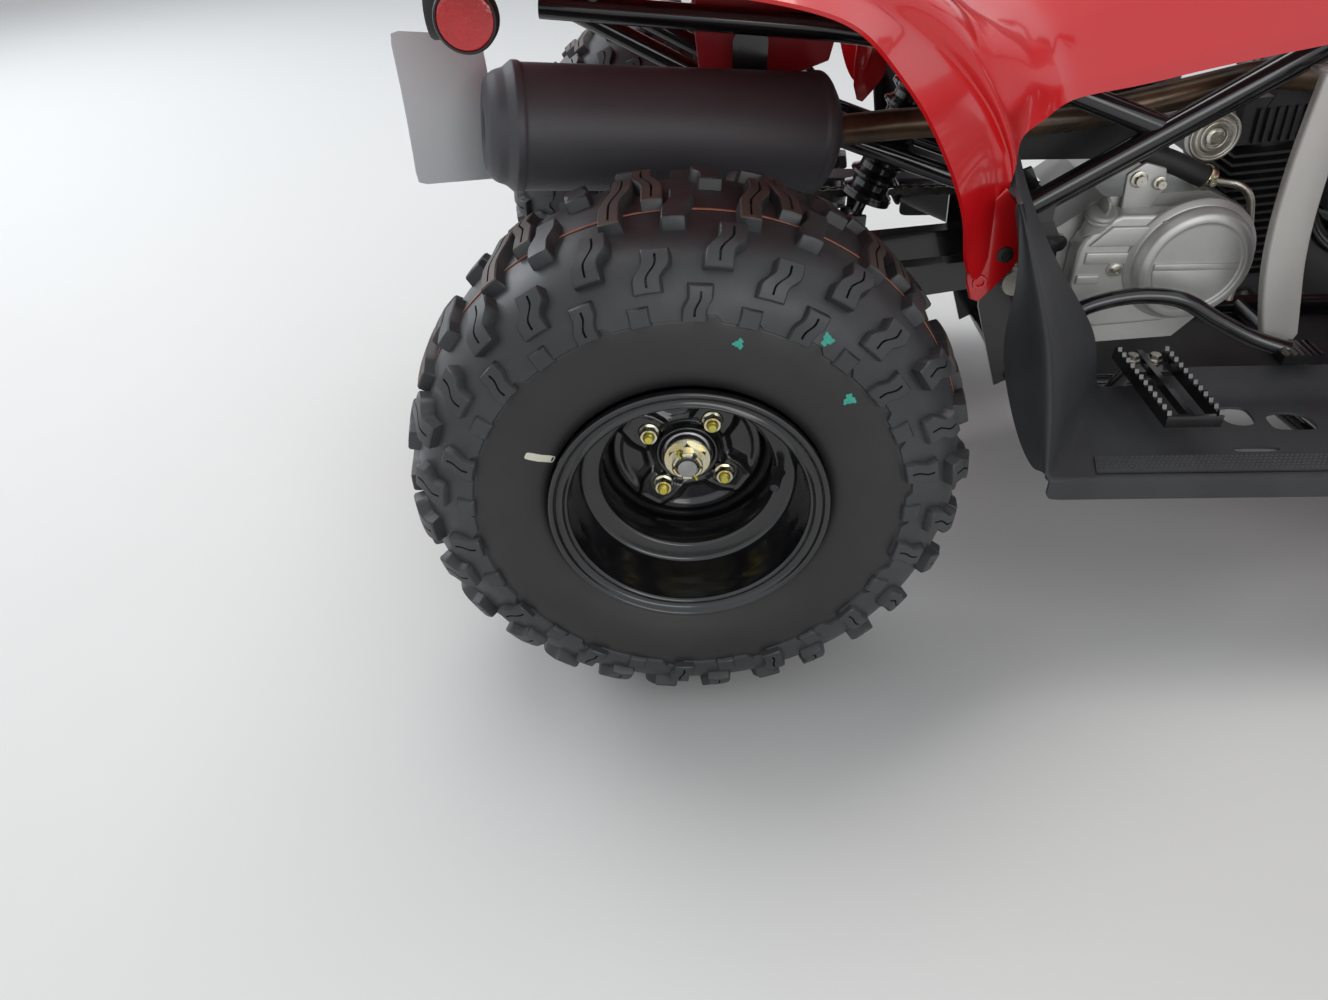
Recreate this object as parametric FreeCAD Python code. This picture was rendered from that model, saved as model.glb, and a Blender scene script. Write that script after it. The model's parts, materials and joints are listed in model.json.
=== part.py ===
import FreeCAD, Part
import math
import os

os.makedirs("parts", exist_ok=True)

# Youth sport quad bike with a rigid rear axle, chain drive and an air-cooled single.
# Millimetres. +X is forward, +Y is left, +Z is up; the origin is on the floor under the
# middle of the overall length.

# Overall sizes
overall_length = 1527.0
wheelbase = 995.0
running_gap = 0.3          # between faces of pieces that lie against each other
seat_height = 652.0

# Wheels: rear 19 x 8 tyres and front 20 x 7 tyres on 8 inch rims
rear_tyre_radius = 241.5
rear_tyre_width = 203.0
rear_half_track = 345.0
front_tyre_radius = 254.0
front_tyre_width = 178.0
front_half_track = 350.0
bead_radius = 101.6
rim_flange_height = 14.0
rim_steel = 3.0
rim_lip = 7.5
rear_rim_half_width = 82.5
front_rim_half_width = 69.5
rear_well_radius = 77.3
rear_well_edge = 40.0      # outer edge of the well, outboard of the middle of the rim
front_well_radius = 90.0
front_well_edge = 36.0
rear_disc_offset = 3.0     # face of the wheel disc, inboard of the middle of the tyre
front_disc_offset = -12.0
disc_steel = 4.0           # thickness of a wheel disc
lobe_reach = 63.0          # tips of the four raised lobes of a wheel disc

# Tread: lugs are blocks on a carcass of flat facets, repeated once for each pitch
tread_pitches = 14
tread_facets = 28
tread_first = 62.25        # degrees from +X, forward, to the first row of the right rear tyre
tread_half_turn = -6.43    # the other half of a tread is turned by this much
facet_first = 2.83         # degrees from +X to an edge between two facets, clear of the lugs
lug_depth = 15.0
# name, degrees after the first row, width, sideways shift, then for both ends how far
# inside the side wall and how far below the tips
tread_rows = (("side", -5.0, 16.0, 6.0, (14.5, 27.0), (44.5, 8.0)),
              ("crown", 14.7, 15.0, 8.0, (56.0, 5.6), (119.0, 0.4)))

# Rear axle, sprockets and chain
axle_radius = 13.0
axle_end_reach = 25.0      # past the middle of the tyre
chain_line_y = 60.0
chain_pitch = 12.7
rear_teeth = 42
engine_teeth = 15
engine_sprocket_x = -98.0
engine_sprocket_z = 300.0

# Steering and front suspension
stem_foot_x = 440.0
stem_foot_z = 262.0
stem_top_x = 285.0
stem_top_z = 752.0
stem_radius = 14.0
stem_arm = 45.0
tie_pin_y = 24.0
kingpin_inset = 84.0       # kingpin inboard of the middle of the front tyre
hub_inset = 61.5           # inner rim of the front drum, inboard of the same
lower_ball_z = 196.0
upper_ball_z = 318.0
lower_pivot_z = 206.0
upper_pivot_z = 330.0
lower_member_y = 89.0
upper_member_y = 93.2
kingpin_lean = 10.0        # sideways shift of the upper ball, towards the middle
kingpin_rake = 9.0         # rearward shift of the upper ball
steer_arm = 62.0
spindle_radius = 10.0
steer_arm_inset = 22.0

spring_wire = 4.0
spring_turns = 7
spring_from = 0.16         # where a spring starts and how much of the length it takes
spring_share = 0.7

# Frame tubes
main_tube = 11.0
small_tube = 9.5
lower_rail_z = 158.0
lower_rail_y = 98.0
main_rail_y = 136.0
inner_rail_y = 104.0

# Engine
crank_x = 4.0
crank_z = 309.0
case_half = 74.0
left_cover_depth = 34.0
clutch_cover_radius = 60.0
clutch_cover_face_y = -124.0
barrel_x = 96.0
barrel_half = 54.0
barrel_bottom_z = 262.0
barrel_top_z = 412.0
fin_pitch = 9.0
fin_thickness = 3.0
head_fins = 9

# Muffler
muffler_radius = 52.0
muffler_rear = (-672.0, -196.0, 482.0)
muffler_front = (-360.0, -122.0, 449.0)

# Body panels
panel = 3.2
deck_heights = ((-706, 606), (-620, 602), (-520, 598), (-430, 592), (-345, 588), (40, 624))
well_floor_z = 208.0
grille_x = 652.0
seat_rear_x = -612.0
seat_front_x = 40.0

rear_axle_x = -overall_length / 2 + rear_tyre_radius
rear_axle_z = rear_tyre_radius
front_axle_x = rear_axle_x + wheelbase
kingpin_y = front_half_track - kingpin_inset
hub_inner_y = front_half_track - hub_inset
front_axle_z = front_tyre_radius
nose_x = overall_length / 2


def vec(x, y, z):
    return FreeCAD.Vector(x, y, z)


def deck_underside(x):
    """Height of the underside of the deck below the seat."""
    for (x0, z0), (x1, z1) in zip(deck_heights, deck_heights[1:]):
        if x <= x1:
            return z0 + (z1 - z0) * (x - x0) / (x1 - x0) - panel
    return deck_heights[-1][1] - panel


def export(name, *shapes):
    shape = shapes[0] if len(shapes) == 1 else Part.makeCompound(list(shapes))
    shape.exportStep("parts/" + name + ".step")


def mirrored(shape):
    return shape.mirror(vec(0, 0, 0), vec(0, 1, 0))


def polygon(points):
    return Part.makePolygon([vec(*p) for p in points] + [vec(*points[0])])


def box(x0, x1, y0, y1, z0, z1):
    return Part.makeBox(x1 - x0, y1 - y0, z1 - z0, vec(x0, y0, z0))


def rod(start, end, radius):
    a = vec(*start)
    d = vec(*end) - a
    return Part.makeCylinder(radius, d.Length, a, d)


def pipe_path(points):
    """Straight runs joined by tangent arcs as large as the two runs allow."""
    pts = [vec(*p) for p in points]
    edges = []
    start = pts[0]
    for before, corner, after in zip(pts, pts[1:], pts[2:]):
        to_before = before - corner
        to_after = after - corner
        half_turn = (math.pi - to_before.getAngle(to_after)) / 2
        reach = 0.45 * min(to_before.Length, to_after.Length)
        to_before.normalize()
        to_after.normalize()
        first = corner + to_before * reach
        last = corner + to_after * reach
        middle = (to_before + to_after).normalize()
        radius = reach / math.tan(half_turn)
        centre = corner + middle * (radius / math.cos(half_turn))
        crown = centre - middle * radius
        edges.append(Part.makeLine(start, first))
        edges.append(Part.Arc(first, crown, last).toShape())
        start = last
    edges.append(Part.makeLine(start, pts[-1]))
    return Part.Wire(edges)


def tube(points, radius):
    path = pipe_path(points)
    a = vec(*points[0])
    d = vec(*points[1]) - a
    ring = Part.Wire([Part.makeCircle(radius, a, d)])
    return path.makePipeShell([ring], True, False)


def fused(shapes):
    whole = shapes[0]
    for shape in shapes[1:]:
        whole = whole.fuse(shape)
    return whole.removeSplitter()


def turned(points, x, y, z):
    """Solid of revolution about a line along Y; points are (radius, y) pairs."""
    outline = polygon([(x + r, y + s, z) for r, s in points])
    return Part.Face(outline).revolve(vec(x, y, z), vec(0, 1, 0), 360)


def skin(sections, drops):
    """Thin panel through cross-sections, lists of points on its outer face; drops holds the
    direction from the outer face inward for each section."""
    wires = []
    for points, drop in zip(sections, drops):
        inward = vec(*drop).normalize() * panel
        outer = [vec(*p) for p in points]
        inner = [p + inward for p in outer]
        ring = outer + inner[::-1]
        wires.append(Part.makePolygon(ring + [ring[0]]))
    return Part.makeLoft(wires, True, True)


def lofted(sections):
    return Part.makeLoft([polygon(points) for points in sections], True, True)


# Tyres and rims; the right ones are modelled and mirrored for the left
def ring_point(radius, y, degrees):
    """Point on a circle about the Y axis, in degrees from +X towards +Z."""
    turn = math.radians(degrees)
    return vec(radius * math.cos(turn), y, radius * math.sin(turn))


def carcass(radius, half, rim_half):
    """Closed ring of flat facets; its corners stand out so that each facet's middle is true."""
    out = 1 / math.cos(math.pi / tread_facets)
    seat = rim_half - running_gap
    side = [(bead_radius + running_gap, seat), (bead_radius + rim_flange_height + 1.5, seat),
            (radius - 76.5, half - 5.0), (radius - 35.5, half - 17.0), (radius - 13.5, half - 49.5)]
    outline = [(r * out, y) for r, y in side + [(r, -y) for r, y in side[::-1]]]
    faces = []
    step = 360 / tread_facets
    for i in range(tread_facets):
        start = facet_first + i * step
        for (r0, y0), (r1, y1) in zip(outline, outline[1:] + outline[:1]):
            corners = [ring_point(r0, y0, start), ring_point(r0, y0, start + step),
                       ring_point(r1, y1, start + step), ring_point(r1, y1, start)]
            faces.append(Part.Face(Part.makePolygon(corners + [corners[0]])))
    solid = Part.makeSolid(Part.makeShell(faces))
    if solid.Volume < 0:
        solid.reverse()
    return solid.removeSplitter()


def lug(radius, half, row, degrees, mirror):
    """Block between two points of the outer surface, leaning by its sideways shift."""
    width, shift, (in0, down0), (in1, down1) = row[2:]
    low = vec(radius - down0, mirror * (half - in0), 0)
    high = vec(radius - down1, mirror * (half - in1), 0)
    along = (high - low).normalize()
    outward = vec(-along.y, along.x, 0)
    if outward.x < 0:
        outward = outward * -1
    corners = []
    for end, lean in ((low, shift / 2), (high, -shift / 2)):
        corners.append([vec(end.x, end.y, lean + side * width / 2) for side in (-1, 1)])
    top = [corners[0][0], corners[0][1], corners[1][1], corners[1][0]]
    block = Part.Face(Part.makePolygon(top + [top[0]])).extrude(outward * -lug_depth)
    block.rotate(vec(0, 0, 0), vec(0, 1, 0), -degrees)
    return block


def tyre(radius, width, rim_half):
    """Right tyre round the Y axis, its outer side towards -Y."""
    half = width / 2
    shapes = [carcass(radius, half, rim_half)]
    for mirror, half_turn in ((-1, 0.0), (1, tread_half_turn)):
        for row in tread_rows:
            for i in range(tread_pitches):
                degrees = tread_first + half_turn + row[1] + i * 360 / tread_pitches
                shapes.append(lug(radius, half, row, degrees, mirror))
    return shapes[0].multiFuse(shapes[1:]).removeSplitter()


def rim(rim_half, disc_offset, well_radius, well_edge):
    """Right rim round the Y axis; outward is -Y."""
    lip = bead_radius + rim_flange_height
    steel = rim_steel
    bead = bead_radius - steel
    well = well_radius - steel
    outer = [(lip, rim_half), (lip, rim_half + rim_lip - 1.5), (lip - 1.5, rim_half + rim_lip),
             (lip - 4.5, rim_half + rim_lip), (lip - 5.5, rim_half + rim_lip - 2),
             (lip - 6, rim_half + steel + 1), (bead + 2.5, rim_half + steel), (bead, rim_half + 1),
             (bead - 2, rim_half - 20), (bead - 6.5, well_edge + 1), (bead - 8, well_edge),
             (well + 2, well_edge - 2.5), (well, well_edge - 5)]
    inner = [(well_radius, well_edge - 8), (well_radius + 1, well_edge - 6), (bead_radius - 6, well_edge - 3),
             (bead_radius - 5.5, well_edge), (bead_radius - 2, rim_half - 20), (bead_radius, rim_half - 3),
             (bead_radius, rim_half)]
    half = outer + [(r, -y) for r, y in outer[::-1]] + [(r, -y) for r, y in inner[::-1]] + inner
    barrel = turned(half, 0, 0, 0)
    face = disc_offset
    back = face + disc_steel
    disc_points = [(22, face - 4), (29, face - 4), (31, face), (lobe_reach + 3, face), (lobe_reach + 6, back),
                   (well + 1, back), (well + 1, back + 4), (lobe_reach + 4, back + 4),
                   (lobe_reach + 1, back), (31, back), (22, back)]
    pieces = [barrel, turned(disc_points, 0, 0, 0)]
    for i in range(4):
        degrees = tread_first - 5.3 + 90 * i
        lobe = [ring_point(30, face - 3, degrees - 32), ring_point(46, face - 3, degrees - 22),
                ring_point(lobe_reach, face - 3, degrees - 12), ring_point(lobe_reach, face - 3, degrees + 12),
                ring_point(46, face - 3, degrees + 22), ring_point(30, face - 3, degrees + 32)]
        pieces.append(Part.Face(Part.makePolygon(lobe + [lobe[0]])).extrude(vec(0, 4, 0)))
    return fused(pieces)


def placed(shape, x, y, z):
    return shape.copy().translated(vec(x, y, z))


rear_tyre = placed(tyre(rear_tyre_radius, rear_tyre_width, rear_rim_half_width),
                   rear_axle_x, -rear_half_track, rear_axle_z)
rear_rim = placed(rim(rear_rim_half_width, rear_disc_offset, rear_well_radius, rear_well_edge),
                  rear_axle_x, -rear_half_track, rear_axle_z)
front_tyre = placed(tyre(front_tyre_radius, front_tyre_width, front_rim_half_width),
                    front_axle_x, -front_half_track, front_axle_z)
front_rim = placed(rim(front_rim_half_width, front_disc_offset, front_well_radius, front_well_edge),
                   front_axle_x, -front_half_track, front_axle_z)
export("rear_tyres", rear_tyre, mirrored(rear_tyre))
export("rear_rims", rear_rim, mirrored(rear_rim))
export("front_tyre_right", front_tyre)
export("front_tyre_left", mirrored(front_tyre))
export("front_rim_right", front_rim)
export("front_rim_left", mirrored(front_rim))


# Rear axle with its hubs, drum and sprocket
def across(y0, y1, radius, x=rear_axle_x, z=rear_axle_z):
    return Part.makeCylinder(radius, y1 - y0, vec(x, y0, z), vec(0, 1, 0))


hub_face = rear_half_track - rear_disc_offset - disc_steel - running_gap
axle_end = rear_half_track + axle_end_reach
axle_pieces = [across(-axle_end, axle_end, axle_radius)]
for side in (-1, 1):
    inner = side * (hub_face - 62)
    flange = side * (hub_face - 9)
    outer = side * hub_face
    nut = side * (rear_half_track - rear_disc_offset + 2)
    nut_end = side * (axle_end - 4)
    axle_pieces.append(across(min(inner, outer), max(inner, outer), 24))
    axle_pieces.append(across(min(flange, outer), max(flange, outer), 54))
    axle_pieces.append(across(min(nut, nut_end), max(nut, nut_end), 17))
    axle_pieces.append(across(min(outer, nut), max(outer, nut), 21.5))
    washer = side * (axle_end - 14)
    axle_pieces.append(across(min(nut, washer), max(nut, washer), 21))
export("rear_axle", fused(axle_pieces))

sprocket_radius = chain_pitch / 2 / math.sin(math.pi / rear_teeth)
sprocket_thickness = 5.0
sprocket = across(chain_line_y - sprocket_thickness / 2, chain_line_y + sprocket_thickness / 2,
                  sprocket_radius - 3.5)
sprocket = sprocket.cut(across(chain_line_y - 10, chain_line_y + 10, 30))
for i in range(6):
    hole = ring_point(61, 0, 60 * i) + vec(rear_axle_x, chain_line_y, rear_axle_z)
    sprocket = sprocket.cut(Part.makeCylinder(11, 20, hole - vec(0, 10, 0), vec(0, 1, 0)))
carrier = across(chain_line_y + sprocket_thickness / 2, chain_line_y + 16, 44)
carrier = carrier.cut(across(chain_line_y - 10, chain_line_y + 30, axle_radius + 0.05))
boss = across(chain_line_y - 2.5, chain_line_y + 8, 32)
boss = boss.cut(across(chain_line_y - 10, chain_line_y + 30, axle_radius + 0.05))
export("rear_sprocket", fused([sprocket, carrier, boss]))

drum_y = -112.0
drum = across(drum_y - 34, drum_y, 62)
drum = drum.cut(across(drum_y - 29, drum_y + 1, 55))
drum = drum.cut(across(drum_y - 60, drum_y + 10, axle_radius + 0.05))
export("rear_brake_drum", drum)

# Swing arm: pivot tube, two arms, axle housing between drum and sprocket, shock mount
pivot_x = -168.0
pivot_z = 283.0
arm_y = 46.0
housing_right = drum_y + 12
housing_left = chain_line_y - 16
housing = across(housing_right, housing_left, 33)
arms = [housing, across(-79.7, 79.7, 17, pivot_x, pivot_z)]
for y in (-66, 24):
    profile = [(pivot_x - 4, y, pivot_z - 15), (pivot_x - 4, y, pivot_z + 15),
               (rear_axle_x + 16, y, rear_axle_z + 27), (rear_axle_x + 16, y, rear_axle_z - 25)]
    arms.append(Part.Face(polygon(profile)).extrude(vec(0, 20, 0)))
arms.append(box(-330, -300, -50, 28, 248, 288))
arms.append(box(-352, -308, -22, 22, 272, 300))
for y in (-17.3, 11.3):
    arms.append(box(-342, -318, y, y + 6, 298, 328))
swingarm = fused(arms)
swingarm = swingarm.cut(across(housing_right - 1, housing_left + 1, axle_radius + 0.08))
swingarm = swingarm.cut(across(-90, 90, 8 + running_gap, pivot_x, pivot_z))
panel_disc = across(drum_y + 1.5, drum_y + 12 - running_gap, 61)
panel_disc = panel_disc.cut(across(drum_y, drum_y + 20, axle_radius + 1.5))
export("swingarm", swingarm)
export("rear_brake_panel", panel_disc)

shock_foot = (-330.0, 0.0, 316.0)
shock_head = (-262.0, 0.0, 493.2)


def shock(foot, head, spring_radius, eye_half):
    a = vec(*foot)
    d = (vec(*head) - a)
    length = d.Length
    d.normalize()
    low = a + d * length * spring_from
    run = length * spring_share
    body = Part.makeCylinder(spring_radius * 0.55, length * 0.5, a + d * length * 0.14, d)
    stem = Part.makeCylinder(6, length - 20, a + d * 10, d)
    low_cup = Part.makeCylinder(spring_radius, 5, low, d)
    high_cup = Part.makeCylinder(spring_radius, 6, low + d * run, d)
    coil_radius = spring_radius - spring_wire
    pitch = run / spring_turns
    outline = [(0, -1), (coil_radius - spring_wire, -1)]
    for i in range(spring_turns):
        z = pitch * i
        outline += [(coil_radius - spring_wire, z), (coil_radius, z + 3), (coil_radius + 3, z + 5),
                    (coil_radius + 3, z + 8), (coil_radius, z + 10), (coil_radius - spring_wire, z + 13)]
    outline += [(coil_radius - spring_wire, run + 1), (0, run + 1)]
    section = Part.Face(polygon([(r, 0, z) for r, z in outline]))
    coil = section.revolve(vec(0, 0, 0), vec(0, 0, 1), 360)
    coil.Placement = FreeCAD.Placement(low, FreeCAD.Rotation(vec(0, 0, 1), d))
    eye_axis = vec(0, 1, 0) if abs(d.y) < 0.2 else vec(1, 0, 0)
    eyes = []
    for end in (vec(*foot), vec(*head)):
        eyes.append(Part.makeCylinder(13, 2 * eye_half, end - eye_axis * eye_half, eye_axis))
    return fused([body, stem, low_cup, high_cup, coil] + eyes)


export("rear_shock", shock(shock_foot, shock_head, 29, 11))


# Frame
def both(shapes):
    return shapes + [mirrored(s) for s in shapes]


plate_y = 80.0
fender_post_top = 658.0
pivot_plate = [(-205, plate_y, 388), (-172, plate_y, 402), (-128, plate_y, 330), (-118, plate_y, 175),
               (-162, plate_y, 150), (-198, plate_y, 250)]
right_frame = []
right_frame.append(tube([(-196, -main_rail_y, 376), (32, -main_rail_y, 517),
                         (225, -66, 604), (318, -40, 640)], main_tube))
right_frame.append(tube([(-180, -inner_rail_y, 360), (60, -inner_rail_y, 508),
                         (200, -62, 566)], small_tube))
right_frame.append(tube([(-138, -lower_rail_y, 300), (-132, -lower_rail_y, lower_rail_z),
                         (380, -lower_rail_y, lower_rail_z), (560, -64, 196)], main_tube))
right_frame.append(tube([(318, -40, 640), (378, -60, 480), (372, -88, 330),
                         (372, -lower_rail_y + 8, lower_rail_z + 4)], main_tube))
right_frame.append(tube([(548, -72, 192), (546, -88, 335), (475, -84, 500), (378, -58, 480)], small_tube))
right_frame.append(rod((372, -lower_member_y, lower_pivot_z), (552, -lower_member_y, lower_pivot_z), small_tube))
right_frame.append(rod((372, -upper_member_y, upper_pivot_z), (548, -upper_member_y, upper_pivot_z), small_tube))
right_frame.append(rod((475, -110, 500), (475, -110, fender_post_top), 8))
right_frame.append(rod((475, -84, 504), (475, -112, 504), 8))
right_frame.append(rod((531, -88, 368), (grille_x - 3.2, -104, 442), 6))
for x in (-100, 100):
    right_frame.append(tube([(x, -lower_rail_y, lower_rail_z), (x, -150, 176),
                             (x, -330, well_floor_z - 4 - running_gap - 7)], 7))
right_frame.append(rod((-126, -plate_y - 2, 320), (-126, -case_half - running_gap, 320), 9))
right_frame.append(Part.Face(polygon(pivot_plate)).extrude(vec(0, 5, 0)).translated(
    vec(0, -2 * plate_y - 5, 0)))
right_frame.append(box(-196, -160, -main_rail_y, -plate_y - 4, 366, 384))
cross = []
# cross tubes (x, half length, z, radius)
for x, y, z, r in ((-140, lower_rail_y, lower_rail_z, small_tube), (200, lower_rail_y, lower_rail_z, small_tube),
                   (372, 86, 170, small_tube), (548, 70, 196, small_tube), (538, 82, 356, small_tube),
                   (475, 84, 498, small_tube), (-186, 104, 366, small_tube)):
    cross.append(rod((x, -y, z), (x, y, z), r))
cross.append(box(424, 476, -89, 89, 208, 216))
cross.append(box(430, 470, -18, 18, 215, 238))
cross.append(box(556, 564, -82, 82, 180, 213))
head_axis = (vec(stem_top_x, 0, stem_top_z) - vec(stem_foot_x, 0, stem_foot_z)).normalize()
head_at = vec(stem_foot_x, 0, stem_foot_z) + head_axis * 390
head_tube = Part.makeCylinder(24, 34, head_at, head_axis)
cross.append(head_tube)
foot_cup = vec(stem_foot_x, 0, stem_foot_z) - head_axis * (12 + running_gap + 14)
cross.append(Part.makeCylinder(20, 14, foot_cup - head_axis * 6, head_axis).fuse(
    Part.makeCylinder(20, 14, foot_cup, head_axis)))
cross.append(box(296, 330, -42, 42, 622, 650))
frame = fused(both(right_frame) + cross)
stem_bore = Part.makeCylinder(stem_radius + running_gap, 700, vec(stem_foot_x, 0, stem_foot_z), head_axis)
frame = frame.cut(stem_bore)
frame = frame.cut(across(-110, 110, 8 + running_gap, pivot_x, pivot_z))
export("frame", frame)
pivot_bolt = [across(-92, 92, 8, pivot_x, pivot_z)]
pivot_bolt += [across(y, y + 12, 14, pivot_x, pivot_z) for y in (-98, 86)]
export("swingarm_bolt", fused(pivot_bolt))

# Rear subframe with the upper mount of the rear shock
sub = []
sub.append(tube([(-76, -132, 452), (-300, -118, 532), (-648, -104, 560)], main_tube))
sub.append(tube([(-184, -60, 364), (-430, -60, 451), (-633, -60, 553)], small_tube))
for x, z in ((-600, deck_underside(-600)), (-400, deck_underside(-400))):
    sub.append(rod((x, -106, 548), (x, -106, z - running_gap), 8))
subframe = both(sub)
subframe.append(rod((-640, -104, 559), (-640, 104, 559), small_tube))
subframe.append(rod((-262, -123, 517), (-262, 123, 517), small_tube))
for y in (-17.3, 11.3):
    subframe.append(box(-274, -250, y, y + 6, 480, 512))
subframe_solid = fused(subframe).cut(frame)
export("rear_subframe", subframe_solid)

# Engine
case_outline = [(-134, 0, 262), (-134, 0, 330), (-86, 0, 366), (18, 0, 372), (62, 0, 352),
                (66, 0, 248), (30, 0, 205), (-70, 0, 198)]
crankcase = Part.Face(polygon(case_outline)).extrude(vec(0, 2 * case_half, 0)).translated(
    vec(0, -case_half, 0))
left_cover = across(case_half, case_half + left_cover_depth, 66, crank_x - 8, crank_z - 12)
chain_room = box(-150, -60, 34, 90, 240, 345)
crankcase = fused([crankcase, left_cover]).cut(chain_room)
engine_sprocket_radius = chain_pitch / 2 / math.sin(math.pi / engine_teeth)
export("engine_crankcase", crankcase)

cover_outline = [(-112, 0, 262), (-112, 0, 328), (-84, 0, 358), (20, 0, 358), (40, 0, 330),
                 (40, 0, 270), (0, 0, 238), (-80, 0, 232)]
cover = Part.Face(polygon(cover_outline)).extrude(vec(0, -30, 0)).translated(
    vec(0, -case_half - running_gap, 0))
back_y = -case_half - running_gap
face_y = clutch_cover_face_y
recess = clutch_cover_radius - 13
round_cover = turned([(0, back_y), (clutch_cover_radius, back_y), (clutch_cover_radius, face_y + 10),
                      (clutch_cover_radius - 4, face_y + 3), (clutch_cover_radius - 9, face_y), (recess, face_y),
                      (recess - 2, face_y + 3), (0, face_y + 3)], crank_x, 0, crank_z)
bar_half = recess - 4
round_cover = round_cover.fuse(box(crank_x - bar_half, crank_x + bar_half, face_y, face_y + 4,
                                   crank_z + 2, crank_z + 5))
filler = Part.makeCylinder(15, 34, vec(-96, -88, 334), vec(0, -0.35, 1))
export("clutch_cover", fused([cover, round_cover, filler]))

barrel_tilt = vec(-0.087, 0, 1).normalize()
barrel_foot = vec(barrel_x + 6, 0, barrel_bottom_z)
barrel = [Part.makeCylinder(36, barrel_top_z - barrel_bottom_z, barrel_foot, barrel_tilt)]
fin_count = int((barrel_top_z - barrel_bottom_z) / fin_pitch)
for i in range(fin_count):
    at = barrel_foot + barrel_tilt * (fin_pitch * (i + 0.5))
    fin = Part.makeBox(2 * barrel_half - 8, 2 * barrel_half, fin_thickness, vec(8 - barrel_half, -barrel_half, 0))
    fin.Placement = FreeCAD.Placement(at, FreeCAD.Rotation(vec(0, 0, 1), barrel_tilt))
    barrel.append(fin)
barrel_solid = fused(barrel).cut(crankcase)
export("cylinder", barrel_solid)

head_foot = barrel_foot + barrel_tilt * (barrel_top_z - barrel_bottom_z + running_gap)
head = Part.makeBox(2 * barrel_half - 14, 2 * barrel_half - 10, 46, vec(-barrel_half + 9, -barrel_half + 5, 0))
head = head.fuse(Part.makeCylinder(24, 100, vec(0, 50, 30), vec(0, -1, 0)))
for i in range(head_fins):
    head = head.fuse(Part.makeBox(fin_thickness, 2 * barrel_half, 34, vec(fin_pitch * (i - 3.5), -barrel_half, 2)))
head.Placement = FreeCAD.Placement(head_foot, FreeCAD.Rotation(vec(0, 0, 1), barrel_tilt))
export("cylinder_head", head)

carburettor = [across(-64, 6, 24, 6, 424), rod((-50, -20, 424), (58, -20, 424), 19)]
export("carburettor", fused(carburettor).cut(head).cut(barrel_solid))

air_box_sections = [[(-240, -70, 405), (-240, 70, 405), (-240, 70, 500), (-240, -70, 500)],
                    [(-44, -58, 400), (-44, 58, 400), (-44, 58, 470), (-44, -58, 470)]]
air_box = fused([lofted(air_box_sections), box(-268, -238, 38, 52, 440, 508), box(-268, -238, -52, -38, 440, 508)])

# Exhaust
muffler_axis = vec(*muffler_front) - vec(*muffler_rear)
muffler_length = muffler_axis.Length
muffler_axis.normalize()
seam = 1.6
muffler_profile = [(0, 0), (36, 0), (42, 4), (46, 18), (muffler_radius - 3, 20), (muffler_radius, 23),
                   (muffler_radius + seam, 25), (muffler_radius + seam, 30), (muffler_radius, 32),
                   (muffler_radius, muffler_length - 26), (muffler_radius + seam, muffler_length - 24),
                   (muffler_radius + seam, muffler_length - 19), (muffler_radius - 3, muffler_length - 16),
                   (24, muffler_length), (0, muffler_length)]
outline = polygon([(r, 0, s) for r, s in muffler_profile])
muffler = Part.Face(outline).revolve(vec(0, 0, 0), vec(0, 0, 1), 360)
muffler = muffler.cut(Part.makeCylinder(14, 30, vec(0, 0, -1)))
muffler.Placement = FreeCAD.Placement(vec(*muffler_rear) - muffler_axis * 22,
                                      FreeCAD.Rotation(vec(0, 0, 1), muffler_axis))
pipe_points = [(-396, -130.5, 452.8), (-300, -108, 455), (-154, -82, 446), (-47, -78, 466), (40, -76, 486),
               (112, -68, 476), (152, -40, 436), (148, 0, 432)]
exhaust = tube(pipe_points, 14).cut(muffler).cut(head).cut(barrel_solid)
stay = box(-470, -450, -120, -104, 486, 540)
muffler_node = muffler.fuse(stay).cut(subframe_solid)
export("muffler", muffler_node)
export("exhaust_pipe", exhaust)
export("air_box", air_box.cut(exhaust).cut(frame).cut(subframe_solid).cut(fused(carburettor)))

# Breather hose and pipe
hose_points = [(-62, -70, 412), (-20, -70, 398), (16, -72, 382)]
export("breather_hose", tube(hose_points, 11))
pipe_down = [(17.2, -72, 381.4), (58, -78, 376), (74, -80, 320), (76, -80, 252)]
export("breather_pipe", tube(pipe_down, 4).cut(barrel_solid))

# Chain around both sprockets: one closed loop of flat facets
chain_half = 5.0
chain_width = 11.0
rear_bends = 12
front_bends = 6
centre_a = vec(rear_axle_x, 0, rear_axle_z)
centre_b = vec(engine_sprocket_x, 0, engine_sprocket_z)


def chain_loop(extra):
    """Straight runs on tangents, and bends whose facets stay outside the given circle."""
    d = centre_b - centre_a
    middle = math.atan2(d.z, d.x)
    lean = math.acos((sprocket_radius - engine_sprocket_radius) / d.Length)
    points = []
    for centre, radius, first, last, count in (
            (centre_a, sprocket_radius, middle + lean, middle - lean + 2 * math.pi, rear_bends),
            (centre_b, engine_sprocket_radius, middle - lean, middle + lean, front_bends)):
        step = (last - first) / count
        reach = (radius + extra) / math.cos(step / 2)
        for i in range(count):
            turn = first + step * (i + 0.5)
            points.append(centre + vec(math.cos(turn), 0, math.sin(turn)) * reach)
    face = Part.Face(Part.makePolygon(points + [points[0]]))
    return face.extrude(vec(0, chain_width, 0)).translated(vec(0, chain_line_y - chain_width / 2, 0))


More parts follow.
